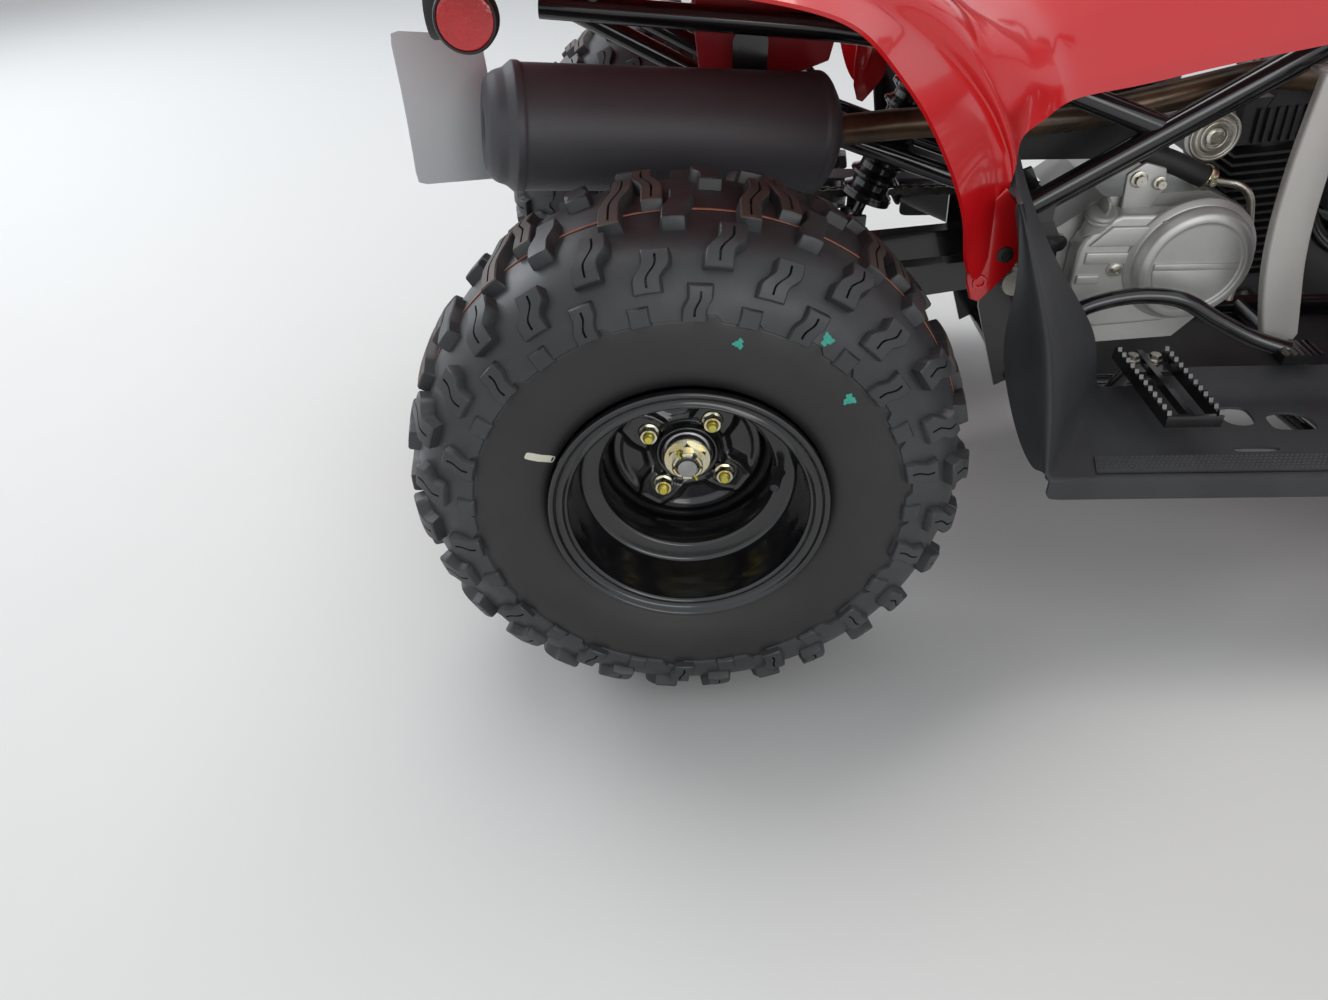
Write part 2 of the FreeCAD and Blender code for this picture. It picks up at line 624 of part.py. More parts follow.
chain_solid = chain_loop(chain_half).cut(chain_loop(-chain_half + 1.6 + running_gap))
engine_sprocket = across(chain_line_y - 2.5, chain_line_y + 2.5, engine_sprocket_radius - 3.8,
                         engine_sprocket_x, engine_sprocket_z)
engine_sprocket = engine_sprocket.fuse(across(34, chain_line_y + 8, 12, engine_sprocket_x, engine_sprocket_z))
export("chain", chain_solid)
export("engine_sprocket", engine_sprocket)

guard_points = [(-560, 0, 350), (-440, 0, 352), (-215, 0, 347)]
guard_outer = [vec(*p) for p in guard_points]
guard_ring = guard_outer + [p - vec(0, 0, 3) for p in guard_outer[::-1]]
chain_guard = Part.Face(Part.makePolygon(guard_ring + [guard_ring[0]])).extrude(vec(0, 32, 0))
chain_guard = chain_guard.translated(vec(0, 44, 0)).fuse(box(-330, -312, 36, 46, 270, 346))
export("chain_guard", chain_guard.cut(swingarm))

# Seat
seat_table = [(seat_rear_x, 88, 672), (-520, 116, 670), (-430, 122, 662), (-345, 122, 655),
              (-120, 104, seat_height + 2), (seat_front_x, 80, 700)]
seat_sections = []
for x, half, high in seat_table:
    low = deck_underside(x) + panel + running_gap
    foot = half - 16
    seat_sections.append([(x, -foot, low), (x, -half, high - 24), (x, -half + 26, high), (x, half - 26, high),
                          (x, half, high - 24), (x, foot, low)])
export("seat", lofted(seat_sections))

# Rear fender: a full-width deck, two wings that sweep down in front of the tyres and a
# side panel under each edge of the seat
deck_table = [(-706, ((0, 606), (104, 606), (190, 622), (262, 634), (306, 632), (330, 616))),
              (-620, ((0, 602), (106, 602), (186, 626), (276, 646), (352, 646), (388, 620))),
              (-520, ((0, 598), (106, 598), (190, 628), (280, 650), (362, 650), (400, 622))),
              (-430, ((0, 592), (106, 592), (190, 620), (276, 640), (356, 634), (394, 608))),
              (-345, ((0, 588), (106, 588), (184, 606), (262, 612), (326, 588), (358, 524)))]
wing_table = [(-345, (0, 0, -1), ((128, 593.08), (184, 606), (262, 612), (326, 588), (358, 524))),
              (-304, (-0.5, 0, -0.85), ((128, 592), (180, 594), (250, 578), (306, 538), (340, 452))),
              (-270, (-0.8, 0.2, -0.5), ((128, 594), (176, 586), (228, 548), (280, 470), (306, 362))),
              (-246, (-0.6, 0.4, -0.5), ((128, 598), (172, 588), (222, 552), (252, 514), (264, 488))),
              (-180, (-0.3, 0.9, -0.25), ((128, 604), (166, 590), (200, 556), (222, 520), (230, 490))),
              (-60, (0, 1, -0.25), ((126, 610), (158, 596), (182, 562), (188, 540), (192, 518))),
              (60, (0, 1, -0.25), ((112, 640), (146, 614), (168, 582), (173, 560), (176, 540))),
              (180, (0, 1, -0.25), ((104, 668), (130, 640), (150, 606), (154, 586), (156, 568)))]
deck_sections = []
for x, half in deck_table:
    right = [(x, -y, z) for y, z in half[::-1]]
    left = [(x, y, z) for y, z in half[1:]]
    deck_sections.append(right + left)
deck = skin(deck_sections, [(0, 0, -1)] * len(deck_table))
wing = skin([[(x, -y, z) for y, z in half] for x, drop, half in wing_table], [row[1] for row in wing_table])
export("rear_fender", fused([deck, wing, mirrored(wing)]))

# Tank cover with its filler cap
tank_table = [(seat_front_x + 1, 78, 630, 698), (110, 92, 626, 726), (190, 90, 640, 732), (250, 70, 664, 716)]
tank_sections = []
for x, half, low, high in tank_table:
    tank_sections.append([(x, -half, low), (x, -half, high - 34), (x, -half + 30, high - 6), (x, 0, high),
                          (x, half - 30, high - 6), (x, half, high - 34), (x, half, low)])
tank = lofted(tank_sections)
cap = Part.makeCylinder(28, 22, vec(150, 0, 722))
tank_feet = [box(120, 140, y - 6, y + 6, 535, 640) for y in (-78, 78)]
export("tank_cover", fused([tank, cap] + tank_feet).cut(frame))

# Front fender
fender_back = [(232, ((122, 604), (200, 588), (290, 562), (366, 524), (402, 482))),
               (300, ((108, 652), (190, 648), (282, 634), (368, 606), (414, 568))),
               (350, ((102, 666), (190, 659), (284, 645), (371, 617), (417, 579)))]
fender_front = [(350, ((0, 704), (40, 700), (86, 676), (102, 666), (190, 659), (284, 645), (371, 617), (417, 579))),
                (430, ((0, 706), (44, 700), (86, 676), (98, 672), (190, 670), (286, 658), (374, 630), (420, 592))),
                (560, ((0, 690), (44, 684), (84, 664), (94, 660), (186, 656), (280, 642), (364, 612), (408, 574))),
                (672, ((0, 622), (40, 618), (80, 608), (90, 604), (176, 600), (262, 588), (338, 560), (376, 526)))]
fender_sections = []
for x, half in fender_front:
    fender_sections.append([(x, -y, z) for y, z in half[::-1]] + [(x, y, z) for y, z in half[1:]])
fender = [skin(fender_sections, [(0, 0, -1)] * len(fender_front))]
fender_side = skin([[(x, -y, z) for y, z in half] for x, half in fender_back], [(0, 0, -1)] * len(fender_back))
fender += both([fender_side, rod((475, -110, fender_post_top - 10), (475, -110, 669), 6)])
export("front_fender", fused(fender).cut(frame))

# Grille panel and bumper
grille = box(grille_x, grille_x + 12, -120, 120, 430, 603)
grille = grille.cut(box(grille_x - 5, grille_x + 20, -96, 96, 470, 560))
slats = [box(grille_x, grille_x + 12, -97, 97, z, z + 8) for z in (486, 512, 538)]
export("front_grille", fused([grille] + slats))

bumper_half = [(561, -64, 197), (700, -72, 250), (nose_x - main_tube, -74, 330),
               (nose_x - main_tube, -74, 430), (736, -72, 520), (grille_x + 12 + running_gap, -72, 520)]
bumper = [tube(bumper_half, main_tube), mirrored(tube(bumper_half, main_tube))]
bumper += [rod((705, -70, 518), (705, 70, 518), small_tube)]
bumper += [rod((nose_x - main_tube, -70, 380), (nose_x - main_tube, 70, 380), small_tube)]
export("front_bumper", fused(bumper).cut(frame))


# Footwells: floor with drain openings, a side slope, a heel guard that rises in front of the
# tyre with its edge turned back, a lip and a raised grip strip
well_inner_y = 190.0
well_outer_y = 350.0
well_front_x = 150.0
# points (x, z) of the heel guard from the floor up, at its inner end, its outer edge and the turned edge
guard_lines = ((well_inner_y, ((-94, 204), (-106, 262), (-130, 296), (-165, 342), (-206, 405), (-224, 450))),
               (well_outer_y, ((-194, 187), (-203, 253), (-212, 300), (-228, 365), (-258, 430), (-270, 455))),
               (well_outer_y - 34, ((-196, 190), (-218, 236), (-236, 280), (-250, 345), (-266, 424), (-277, 450))))


def footwell():
    lines = [[(x, -y, z) for x, z in points] for y, points in guard_lines]
    back = (-1, 0, 0)
    guard = skin(lines[:2], [back, back])
    turned_edge = skin(lines[1:], [back, back])
    low = well_floor_z - 4
    floor_points = [(-97, -well_inner_y, low), (well_front_x, -well_inner_y, low),
                    (well_front_x, -well_outer_y, low), (-197, -well_outer_y, low)]
    floor = Part.Face(polygon(floor_points)).extrude(vec(0, 0, 4))
    slope_points = [(-30, -215, well_floor_z - 1), (-30, -186, well_floor_z + 22), (-30, -182, well_floor_z + 22),
                    (-30, -190, well_floor_z - 4)]
    slope = Part.Face(polygon(slope_points)).extrude(vec(well_front_x + 30, 0, 0))
    lip = box(-197, well_front_x, -well_outer_y, 4 - well_outer_y, guard_lines[1][1][0][1], well_floor_z + 4)
    strip = box(-140, well_front_x, -338, -311, well_floor_z - 1, well_floor_z + 3)
    front = Part.Face(polygon([(well_front_x, -182, low), (well_front_x + 24, -182, low + 22),
                               (well_front_x + 24, -182, low + 27), (well_front_x - 4, -182, low + 4)]))
    front = front.extrude(vec(0, 182 - well_outer_y, 0))
    # drain openings (x from, x to, y from, y to)
    openings = ((6, 38, -264, -228), (48, 92, -272, -236), (-8, 38, -308, -298), (-176, -154, -306, -292))
    cuts = [box(x0, x1, y0, y1, low - 10, well_floor_z + 10) for x0, x1, y0, y1 in openings]
    return fused([guard, turned_edge, floor, slope, lip, strip, front]).cut(Part.makeCompound(cuts))


right_well = footwell()
export("footwell_right", right_well)
export("footwell_left", mirrored(right_well))

# Footpegs: two toothed side plates, an end plate and a middle rib on a bent post
peg_rear_x = -78.0
peg_front_x = -26.0
peg_outer_y = -300.0
peg_inner_y = -168.0
peg_low_z = 231.0
peg_plate = 4.0
tooth_pitch = 11.0


def toothed_plate(x):
    points = [(x, peg_inner_y, peg_low_z), (x, peg_inner_y, peg_low_z + 12)]
    for i in range(int((peg_inner_y - peg_outer_y) / tooth_pitch)):
        y = peg_inner_y - i * tooth_pitch
        points += [(x, y - 3, peg_low_z + 12), (x, y - 5, peg_low_z + 16), (x, y - 7, peg_low_z + 16),
                   (x, y - 9, peg_low_z + 12)]
    points += [(x, peg_outer_y, peg_low_z + 12), (x, peg_outer_y, peg_low_z)]
    return Part.Face(polygon(points)).extrude(vec(peg_plate, 0, 0))


peg_post = tube([(-66, -lower_rail_y - 4, lower_rail_z), (-66, -150, lower_rail_z + 6), (-60, -182, 236)], 8)
peg = [peg_post, toothed_plate(peg_rear_x), toothed_plate(peg_front_x - peg_plate),
       box(peg_rear_x, peg_front_x, peg_outer_y, peg_outer_y + peg_plate, peg_low_z, peg_low_z + 12),
       box(peg_rear_x, peg_front_x, -206, peg_inner_y, peg_low_z, peg_low_z + 5),
       box(-55, -49, peg_outer_y, peg_inner_y, peg_low_z, peg_low_z + 9)]
footpeg = fused(peg).cut(frame)
export("footpegs", footpeg, mirrored(footpeg))

# Guard arms beside the engine, pedals and the gear shifter
guard_side = [(34, 0, 505), (70, 0, 505), (72, 0, 420), (84, 0, 330), (108, 0, 252), (92, 0, 240), (70, 0, 252),
              (46, 0, 330), (35, 0, 420)]
guard_arm = Part.Face(polygon(guard_side)).extrude(vec(0, -12, 0)).translated(vec(0, -154, 0))
guard_arm = guard_arm.fuse(box(40, 66, -155, -128, 498, 505)).cut(frame)
export("guard_arms", guard_arm, mirrored(guard_arm))

pedal = tube([(-137, -150, 264), (-70, -152, 294), (20, -162, 268), (84, -176, 244)], 7)
pedal_seat = -lower_rail_y - main_tube - running_gap
pedal = pedal.fuse(box(78, 118, -200, -168, 238, 250)).fuse(rod((-137, pedal_seat, 264), (-137, -158, 264), 11))
shifter = tube([(-40, 118, 250), (20, 138, 248), (124, 140, 250)], 6).fuse(rod((124, 136, 250), (124, 200, 250), 9))
shaft_seat = case_half + left_cover_depth + running_gap
export("foot_pedals", pedal, shifter.fuse(rod((-40, shaft_seat, 250), (-40, 128, 250), 10)))

# Front suspension
arm_pivot_front = 536.0
arm_pivot_rear = 412.0


def wishbone(ball, inner_y, inner_z, radius):
    ends = [(arm_pivot_rear, -inner_y, inner_z), (arm_pivot_front, -inner_y, inner_z)]
    legs = [rod(end, ball, radius) for end in ends]
    pivots = [rod((x - 18, -inner_y, inner_z), (x + 18, -inner_y, inner_z), 13) for x, y, z in ends]
    joint = [Part.makeCylinder(15, 26, vec(ball[0], ball[1], ball[2] - 13))]
    return fused(legs + pivots + joint)


lower_ball = (front_axle_x, -kingpin_y + 6, lower_ball_z)
upper_ball = (front_axle_x - kingpin_rake, -kingpin_y + 6 + kingpin_lean, upper_ball_z)
lower_arm = wishbone(lower_ball, 112, lower_pivot_z, 10)
lower_arm = lower_arm.fuse(box(front_axle_x - 34, front_axle_x + 34, -196, -184, 190, 208.7))
upper_arm = wishbone(upper_ball, 116, upper_pivot_z, 9)
kingpin_axis = (vec(*upper_ball) - vec(*lower_ball)).normalize()
pin_bore = Part.makeCylinder(8 + running_gap, 260, vec(*lower_ball) - kingpin_axis * 40, kingpin_axis)
lower_arm = lower_arm.cut(pin_bore).cut(frame)
upper_arm = upper_arm.cut(pin_bore).cut(frame)
export("front_lower_arms", lower_arm, mirrored(lower_arm))
export("front_upper_arms", upper_arm, mirrored(upper_arm))

front_shock = shock((front_axle_x, -190, 222), (front_axle_x + 2, -106.8, 494), 25, 12)
front_shock = front_shock.cut(upper_arm).cut(lower_arm).cut(frame)
export("front_shocks", front_shock, mirrored(front_shock))


def knuckle():
    low = vec(*lower_ball)
    high = vec(*upper_ball)
    length = (high - low).Length
    pin = Part.makeCylinder(8, length + 34, low - kingpin_axis * 17, kingpin_axis)
    post = Part.makeCylinder(15, length - 36, low + kingpin_axis * 18, kingpin_axis)
    spindle = rod((front_axle_x, -kingpin_y + 4, front_axle_z),
                  (front_axle_x, -front_half_track - 22, front_axle_z), spindle_radius)
    backing_y = hub_inner_y - 2.5
    boss = rod((front_axle_x, -kingpin_y + 4, front_axle_z), (front_axle_x, -backing_y, front_axle_z), 20)
    plate = rod((front_axle_x, 5 - backing_y, front_axle_z), (front_axle_x, -backing_y, front_axle_z), 74)
    arm = rod((front_axle_x - 6, -kingpin_y + 6, front_axle_z),
              (front_axle_x - steer_arm, -kingpin_y + steer_arm_inset, front_axle_z), 9)
    return fused([pin, post, spindle, boss, plate, arm])


knuckle_right = knuckle()
export("knuckle_right", knuckle_right)
export("knuckle_left", mirrored(knuckle_right))

drum_face = front_half_track - front_disc_offset - disc_steel - running_gap
drum_end = front_half_track - 4
hub = rod((front_axle_x, -hub_inner_y, front_axle_z), (front_axle_x, -drum_end, front_axle_z), 76)
hub = hub.cut(rod((front_axle_x, 0.5 - hub_inner_y, front_axle_z), (front_axle_x, -drum_end + 6, front_axle_z), 69))
hub = hub.fuse(rod((front_axle_x, -drum_end + 1, front_axle_z), (front_axle_x, -drum_face, front_axle_z), 54))
hub = hub.fuse(rod((front_axle_x, -hub_inner_y - 7.5, front_axle_z), (front_axle_x, -drum_face + 1, front_axle_z), 24))
hub = hub.cut(rod((front_axle_x, 80 - hub_inner_y, front_axle_z), (front_axle_x, -front_half_track - 70, front_axle_z),
                  spindle_radius + 0.05))
export("front_hub_right", hub)
export("front_hub_left", mirrored(hub))

# Steering
stem_foot = vec(stem_foot_x, 0, stem_foot_z)
stem = Part.makeCylinder(stem_radius, 546, stem_foot - head_axis * 12, head_axis)
arm_plate_points = [(0, -20), (-stem_arm - 12, -tie_pin_y - 10), (-stem_arm - 12, tie_pin_y + 10), (0, 20)]
arm_plate = Part.Face(polygon([(a, b, 0) for a, b in arm_plate_points])).extrude(vec(0, 0, 6))
pins = [Part.makeCylinder(5, 26, vec(-stem_arm, side * tie_pin_y, -6)) for side in (-1, 1)]
arm_set = arm_plate.fuse(pins)
arm_set.Placement = FreeCAD.Placement(stem_foot - head_axis * 6, FreeCAD.Rotation(vec(0, 0, 1), head_axis))
export("steering_stem", fused([stem, arm_set]))

# Handlebar, grips, levers and pad
bar_x = stem_top_x
bar_z = stem_top_z + 22
bar_half = [(bar_x, 0, bar_z), (bar_x - 2, -58, bar_z), (bar_x - 26, -150, bar_z + 112), (bar_x - 84, -340, bar_z + 126)]
bar = fused([tube(bar_half, 11), mirrored(tube(bar_half, 11))])
clamp = box(bar_x - 20, bar_x + 20, -40, 40, stem_top_z - 6, bar_z + 20)
export("handlebar", fused([bar, clamp]).cut(stem))

grips = []
for side in (-1, 1):
    a = vec(bar_x - 84, side * 340, bar_z + 126)
    b = vec(bar_x - 26, side * 150, bar_z + 112)
    d = (b - a).normalize()
    grip = Part.makeCylinder(16, 116, a - d * 4, d).fuse(Part.makeCylinder(21, 5, a + d * 107, d)).cut(bar)
    grips.append(grip)
export("grips", *grips)


def control(side):
    a = vec(bar_x - 84, side * 340, bar_z + 126)
    b = vec(bar_x - 26, side * 150, bar_z + 112)
    d = (b - a).normalize()
    perch_at = a + d * 122
    perch = Part.makeCylinder(17, 30, perch_at, d)
    start = perch_at + d * 12 + vec(18, 0, -4)
    middle = perch_at - d * 20 + vec(46, 0, -6)
    end = perch_at - d * 104 + vec(48, 0, -8)
    lever = tube([tuple(start), tuple(middle), tuple(end)], 5)
    return fused([perch, lever]).cut(bar)


export("bar_controls", control(-1), control(1))
pad = box(bar_x - 34, bar_x + 30, -50, 50, bar_z + 12, bar_z + 60)
export("bar_pad", pad.cut(clamp).cut(bar))

# Tie rods between the stem's arm and the knuckles
pin_base = stem_foot - head_axis * 6
for side, name in ((-1, "right"), (1, "left")):
    side_vector = vec(0, 1, 0)
    forward = side_vector.cross(head_axis)
    inner = pin_base - forward * stem_arm + side_vector * (side * tie_pin_y) + head_axis * 14
    outer = vec(front_axle_x - steer_arm, side * (kingpin_y - steer_arm_inset), front_axle_z - 24)
    d = (outer - inner).normalize()
    eye = Part.makeCylinder(9, 10, inner - head_axis * 5, head_axis)
    rod_solid = Part.makeCylinder(5.5, (outer - inner).Length - 6, inner + d * 3, d)
    end_ball = Part.makeSphere(7.5, outer)
    whole = fused([eye, rod_solid, end_ball])
    whole = whole.cut(Part.makeCylinder(5.15, 40, inner - head_axis * 20, head_axis))
    export("tie_rod_" + name, whole)

# Skid plate and reflectors
skid_low = lower_rail_z - main_tube - 3.4
skid = [box(-120, 376, -lower_rail_y + 2, lower_rail_y - 2, skid_low, skid_low + 3)]
for x in (-60, 150, 330):
    skid += both([box(x, x + 24, -lower_rail_y - 4, -lower_rail_y + 6, skid_low, skid_low + 8)])
export("skid_plate", fused(skid).cut(frame))

reflector_z = 588.0
lens_radius = 20.5
lens_rim = 2.5
lens_thickness = 4.0
side_reflector_x = -676.0
side_reflector_y = 292.0
rear_reflector_y = 256.0
reflectors = []
lenses = []
for side in (-1, 1):
    y = side * side_reflector_y
    rim_radius = lens_radius + lens_rim
    housing = Part.makeCylinder(rim_radius, 14, vec(side_reflector_x, y, reflector_z), vec(0, side, 0))
    rear_housing = Part.makeCylinder(rim_radius, 12, vec(-696, side * rear_reflector_y, reflector_z), vec(-1, 0, 0))
    arm = box(-700, -672, min(side * 240, side * 296), max(side * 240, side * 296),
              reflector_z + lens_radius - 6, 627.3)
    whole = fused([housing, rear_housing, arm])
    reflectors.append(whole)
    lenses.append(Part.makeCylinder(lens_radius, lens_thickness,
                                    vec(side_reflector_x, y + side * 14.3, reflector_z), vec(0, side, 0)))
    lenses.append(Part.makeCylinder(lens_radius, lens_thickness,
                                    vec(-708.3, side * rear_reflector_y, reflector_z), vec(-1, 0, 0)))
export("reflector_housings", *reflectors)
export("reflector_lenses", *lenses)
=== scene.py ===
import json
import math
import bpy
import bmesh
from mathutils import Matrix, Vector
from mathutils.bvhtree import BVHTree

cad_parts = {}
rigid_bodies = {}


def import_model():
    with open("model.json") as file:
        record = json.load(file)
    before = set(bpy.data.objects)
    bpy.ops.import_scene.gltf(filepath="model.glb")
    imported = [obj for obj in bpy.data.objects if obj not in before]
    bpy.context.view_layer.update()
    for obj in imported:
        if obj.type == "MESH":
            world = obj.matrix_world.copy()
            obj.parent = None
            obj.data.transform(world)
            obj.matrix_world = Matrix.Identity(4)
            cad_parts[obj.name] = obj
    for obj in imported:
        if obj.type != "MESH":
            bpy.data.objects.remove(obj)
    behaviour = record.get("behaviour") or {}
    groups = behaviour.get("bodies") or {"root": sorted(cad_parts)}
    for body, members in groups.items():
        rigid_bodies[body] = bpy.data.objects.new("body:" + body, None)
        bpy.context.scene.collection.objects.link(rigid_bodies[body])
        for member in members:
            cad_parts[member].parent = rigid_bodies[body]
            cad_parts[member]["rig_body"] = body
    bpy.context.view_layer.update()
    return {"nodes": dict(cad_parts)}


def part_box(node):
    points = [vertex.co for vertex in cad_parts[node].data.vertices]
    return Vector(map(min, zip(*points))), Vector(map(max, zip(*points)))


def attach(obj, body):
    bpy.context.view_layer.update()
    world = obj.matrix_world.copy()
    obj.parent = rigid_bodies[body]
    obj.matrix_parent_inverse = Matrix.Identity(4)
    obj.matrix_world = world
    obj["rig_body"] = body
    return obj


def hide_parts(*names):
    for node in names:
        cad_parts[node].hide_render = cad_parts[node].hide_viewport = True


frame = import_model()
mm = 0.001
print("frame loaded")


# Node helpers and the shader groups that the materials share
def addNode(tree, kind, values=None, **settings):
    node = tree.nodes.new(kind)
    for key, value in settings.items():
        setattr(node, key, value)
    for label, value in (values or {}).items():
        node.inputs[label].default_value = value
    return node


def newGroup(name, kind, inputs, outputs):
    group = bpy.data.node_groups.new(name, kind)
    for label, socket, *default in inputs:
        item = group.interface.new_socket(name=label, in_out="INPUT", socket_type="NodeSocket" + socket)
        if default:
            item.default_value = default[0]
    for label, socket in outputs:
        group.interface.new_socket(name=label, in_out="OUTPUT", socket_type="NodeSocket" + socket)
    return group, addNode(group, "NodeGroupInput"), addNode(group, "NodeGroupOutput")


def joinAll(tree, *pairs):
    for source, target in pairs:
        tree.links.new(source, target)


def setMath(tree, operation, first, second=0.0):
    node = addNode(tree, "ShaderNodeMath", operation=operation)
    for socket, value in zip(node.inputs, (first, second)):
        if hasattr(value, "is_linked"):
            tree.links.new(value, socket)
        else:
            socket.default_value = value
    return node.outputs[0]


def mottleGroup():
    # two colours in soft patches, with the roughness spread by the same clouds
    group, start, end = newGroup(
        "mottle", "ShaderNodeTree",
        [("Base", "Color", (0.5, 0.5, 0.5, 1)), ("Tint", "Color", (0.6, 0.6, 0.6, 1)), ("Scale", "Float", 8.0),
         ("Amount", "Float", 0.4), ("Rough", "Float", 0.4), ("Rough Spread", "Float", 0.1)],
        [("Color", "Color"), ("Roughness", "Float")])
    given = start.outputs
    where = addNode(group, "ShaderNodeTexCoord").outputs["Object"]
    cloud = addNode(group, "ShaderNodeTexNoise", {"Detail": 6, "Roughness": 0.62})
    fine = addNode(group, "ShaderNodeTexNoise", {"Detail": 3})
    sharp = addNode(group, "ShaderNodeMapRange", {"From Min": 0.38, "From Max": 0.68})
    blend = addNode(group, "ShaderNodeMix", data_type="RGBA")
    mixed = setMath(group, "ADD", setMath(group, "MULTIPLY", cloud.outputs["Fac"], 0.6),
                    setMath(group, "MULTIPLY", fine.outputs["Fac"], 0.4))
    spread = setMath(group, "MULTIPLY", setMath(group, "SUBTRACT", mixed, 0.5),
                     setMath(group, "MULTIPLY", given["Rough Spread"], 2.0))
    joinAll(group, (where, cloud.inputs["Vector"]), (where, fine.inputs["Vector"]),
            (given["Scale"], cloud.inputs["Scale"]),
            (setMath(group, "MULTIPLY", given["Scale"], 9.0), fine.inputs["Scale"]),
            (cloud.outputs["Fac"], sharp.inputs["Value"]),
            (setMath(group, "MULTIPLY", sharp.outputs["Result"], given["Amount"]), blend.inputs["Factor"]),
            (given["Base"], blend.inputs["A"]), (given["Tint"], blend.inputs["B"]),
            (blend.outputs["Result"], end.inputs["Color"]),
            (setMath(group, "ADD", given["Rough"], spread), end.inputs["Roughness"]))
    return group


def grainGroup():
    # fine grain over slow waves
    group, start, end = newGroup(
        "grain", "ShaderNodeTree",
        [("Scale", "Float", 300.0), ("Strength", "Float", 0.2), ("Depth", "Float", 0.0004),
         ("Wave Scale", "Float", 12.0), ("Wave Strength", "Float", 0.02)], [("Normal", "Vector")])
    given = start.outputs
    where = addNode(group, "ShaderNodeTexCoord").outputs["Object"]
    fine = addNode(group, "ShaderNodeTexNoise", {"Detail": 2})
    slow = addNode(group, "ShaderNodeTexNoise", {"Detail": 1})
    broad = addNode(group, "ShaderNodeBump", {"Distance": 0.004})
    bump = addNode(group, "ShaderNodeBump")
    joinAll(group, (where, fine.inputs["Vector"]), (where, slow.inputs["Vector"]),
            (given["Scale"], fine.inputs["Scale"]), (given["Wave Scale"], slow.inputs["Scale"]),
            (given["Wave Strength"], broad.inputs["Strength"]), (slow.outputs["Fac"], broad.inputs["Height"]),
            (given["Strength"], bump.inputs["Strength"]), (given["Depth"], bump.inputs["Distance"]),
            (fine.outputs["Fac"], bump.inputs["Height"]), (broad.outputs["Normal"], bump.inputs["Normal"]),
            (bump.outputs["Normal"], end.inputs["Normal"]))
    return group


def cellGroup():
    # small round pebbles
    group, start, end = newGroup(
        "cells", "ShaderNodeTree",
        [("Scale", "Float", 700.0), ("Strength", "Float", 0.3), ("Depth", "Float", 0.0003)], [("Normal", "Vector")])
    given = start.outputs
    found = addNode(group, "ShaderNodeTexVoronoi", feature="SMOOTH_F1")
    bump = addNode(group, "ShaderNodeBump", invert=True)
    joinAll(group, (addNode(group, "ShaderNodeTexCoord").outputs["Object"], found.inputs["Vector"]),
            (given["Scale"], found.inputs["Scale"]), (given["Strength"], bump.inputs["Strength"]),
            (given["Depth"], bump.inputs["Distance"]), (found.outputs["Distance"], bump.inputs["Height"]),
            (bump.outputs["Normal"], end.inputs["Normal"]))
    return group


mottle = mottleGroup()
grain = grainGroup()
cells = cellGroup()


def useGroup(tree, group, **values):
    return addNode(tree, "ShaderNodeGroup", {key.replace("_", " "): value for key, value in values.items()},
                   node_tree=group)


def surface(name, look):
    material = bpy.data.materials.new(name)
    material.use_nodes = True
    tree = material.node_tree
    shader = tree.nodes["Principled BSDF"]
    patches = useGroup(tree, mottle, Base=look["base"] + (1,), Tint=look.get("tint", look["base"]) + (1,),
                       Scale=look.get("patch", 9.0), Amount=look.get("patchAmount", 0.5), Rough=look["rough"],
                       Rough_Spread=look.get("roughSpread", 0.08))
    shader.inputs["Metallic"].default_value = look.get("metal", 0.0)
    shader.inputs["IOR"].default_value = 1.5
    if "coat" in look:
        shader.inputs["Coat Weight"].default_value = look["coat"]
        shader.inputs["Coat Roughness"].default_value = look.get("coatRough", 0.05)
    if "pebble" in look:
        relief = useGroup(tree, cells, Scale=look["pebble"], Strength=look["pebbleStrength"],
                          Depth=look["pebbleDepth"])
    else:
        relief = useGroup(tree, grain, Scale=look.get("grain", 350.0), Strength=look.get("grainStrength", 0.15),
                          Depth=look.get("grainDepth", 0.0004), Wave_Scale=look.get("wave", 12.0),
                          Wave_Strength=look.get("waveStrength", 0.02))
    joinAll(tree, (patches.outputs["Color"], shader.inputs["Base Color"]),
            (patches.outputs["Roughness"], shader.inputs["Roughness"]),
            (relief.outputs["Normal"], shader.inputs["Normal"]))
    return material


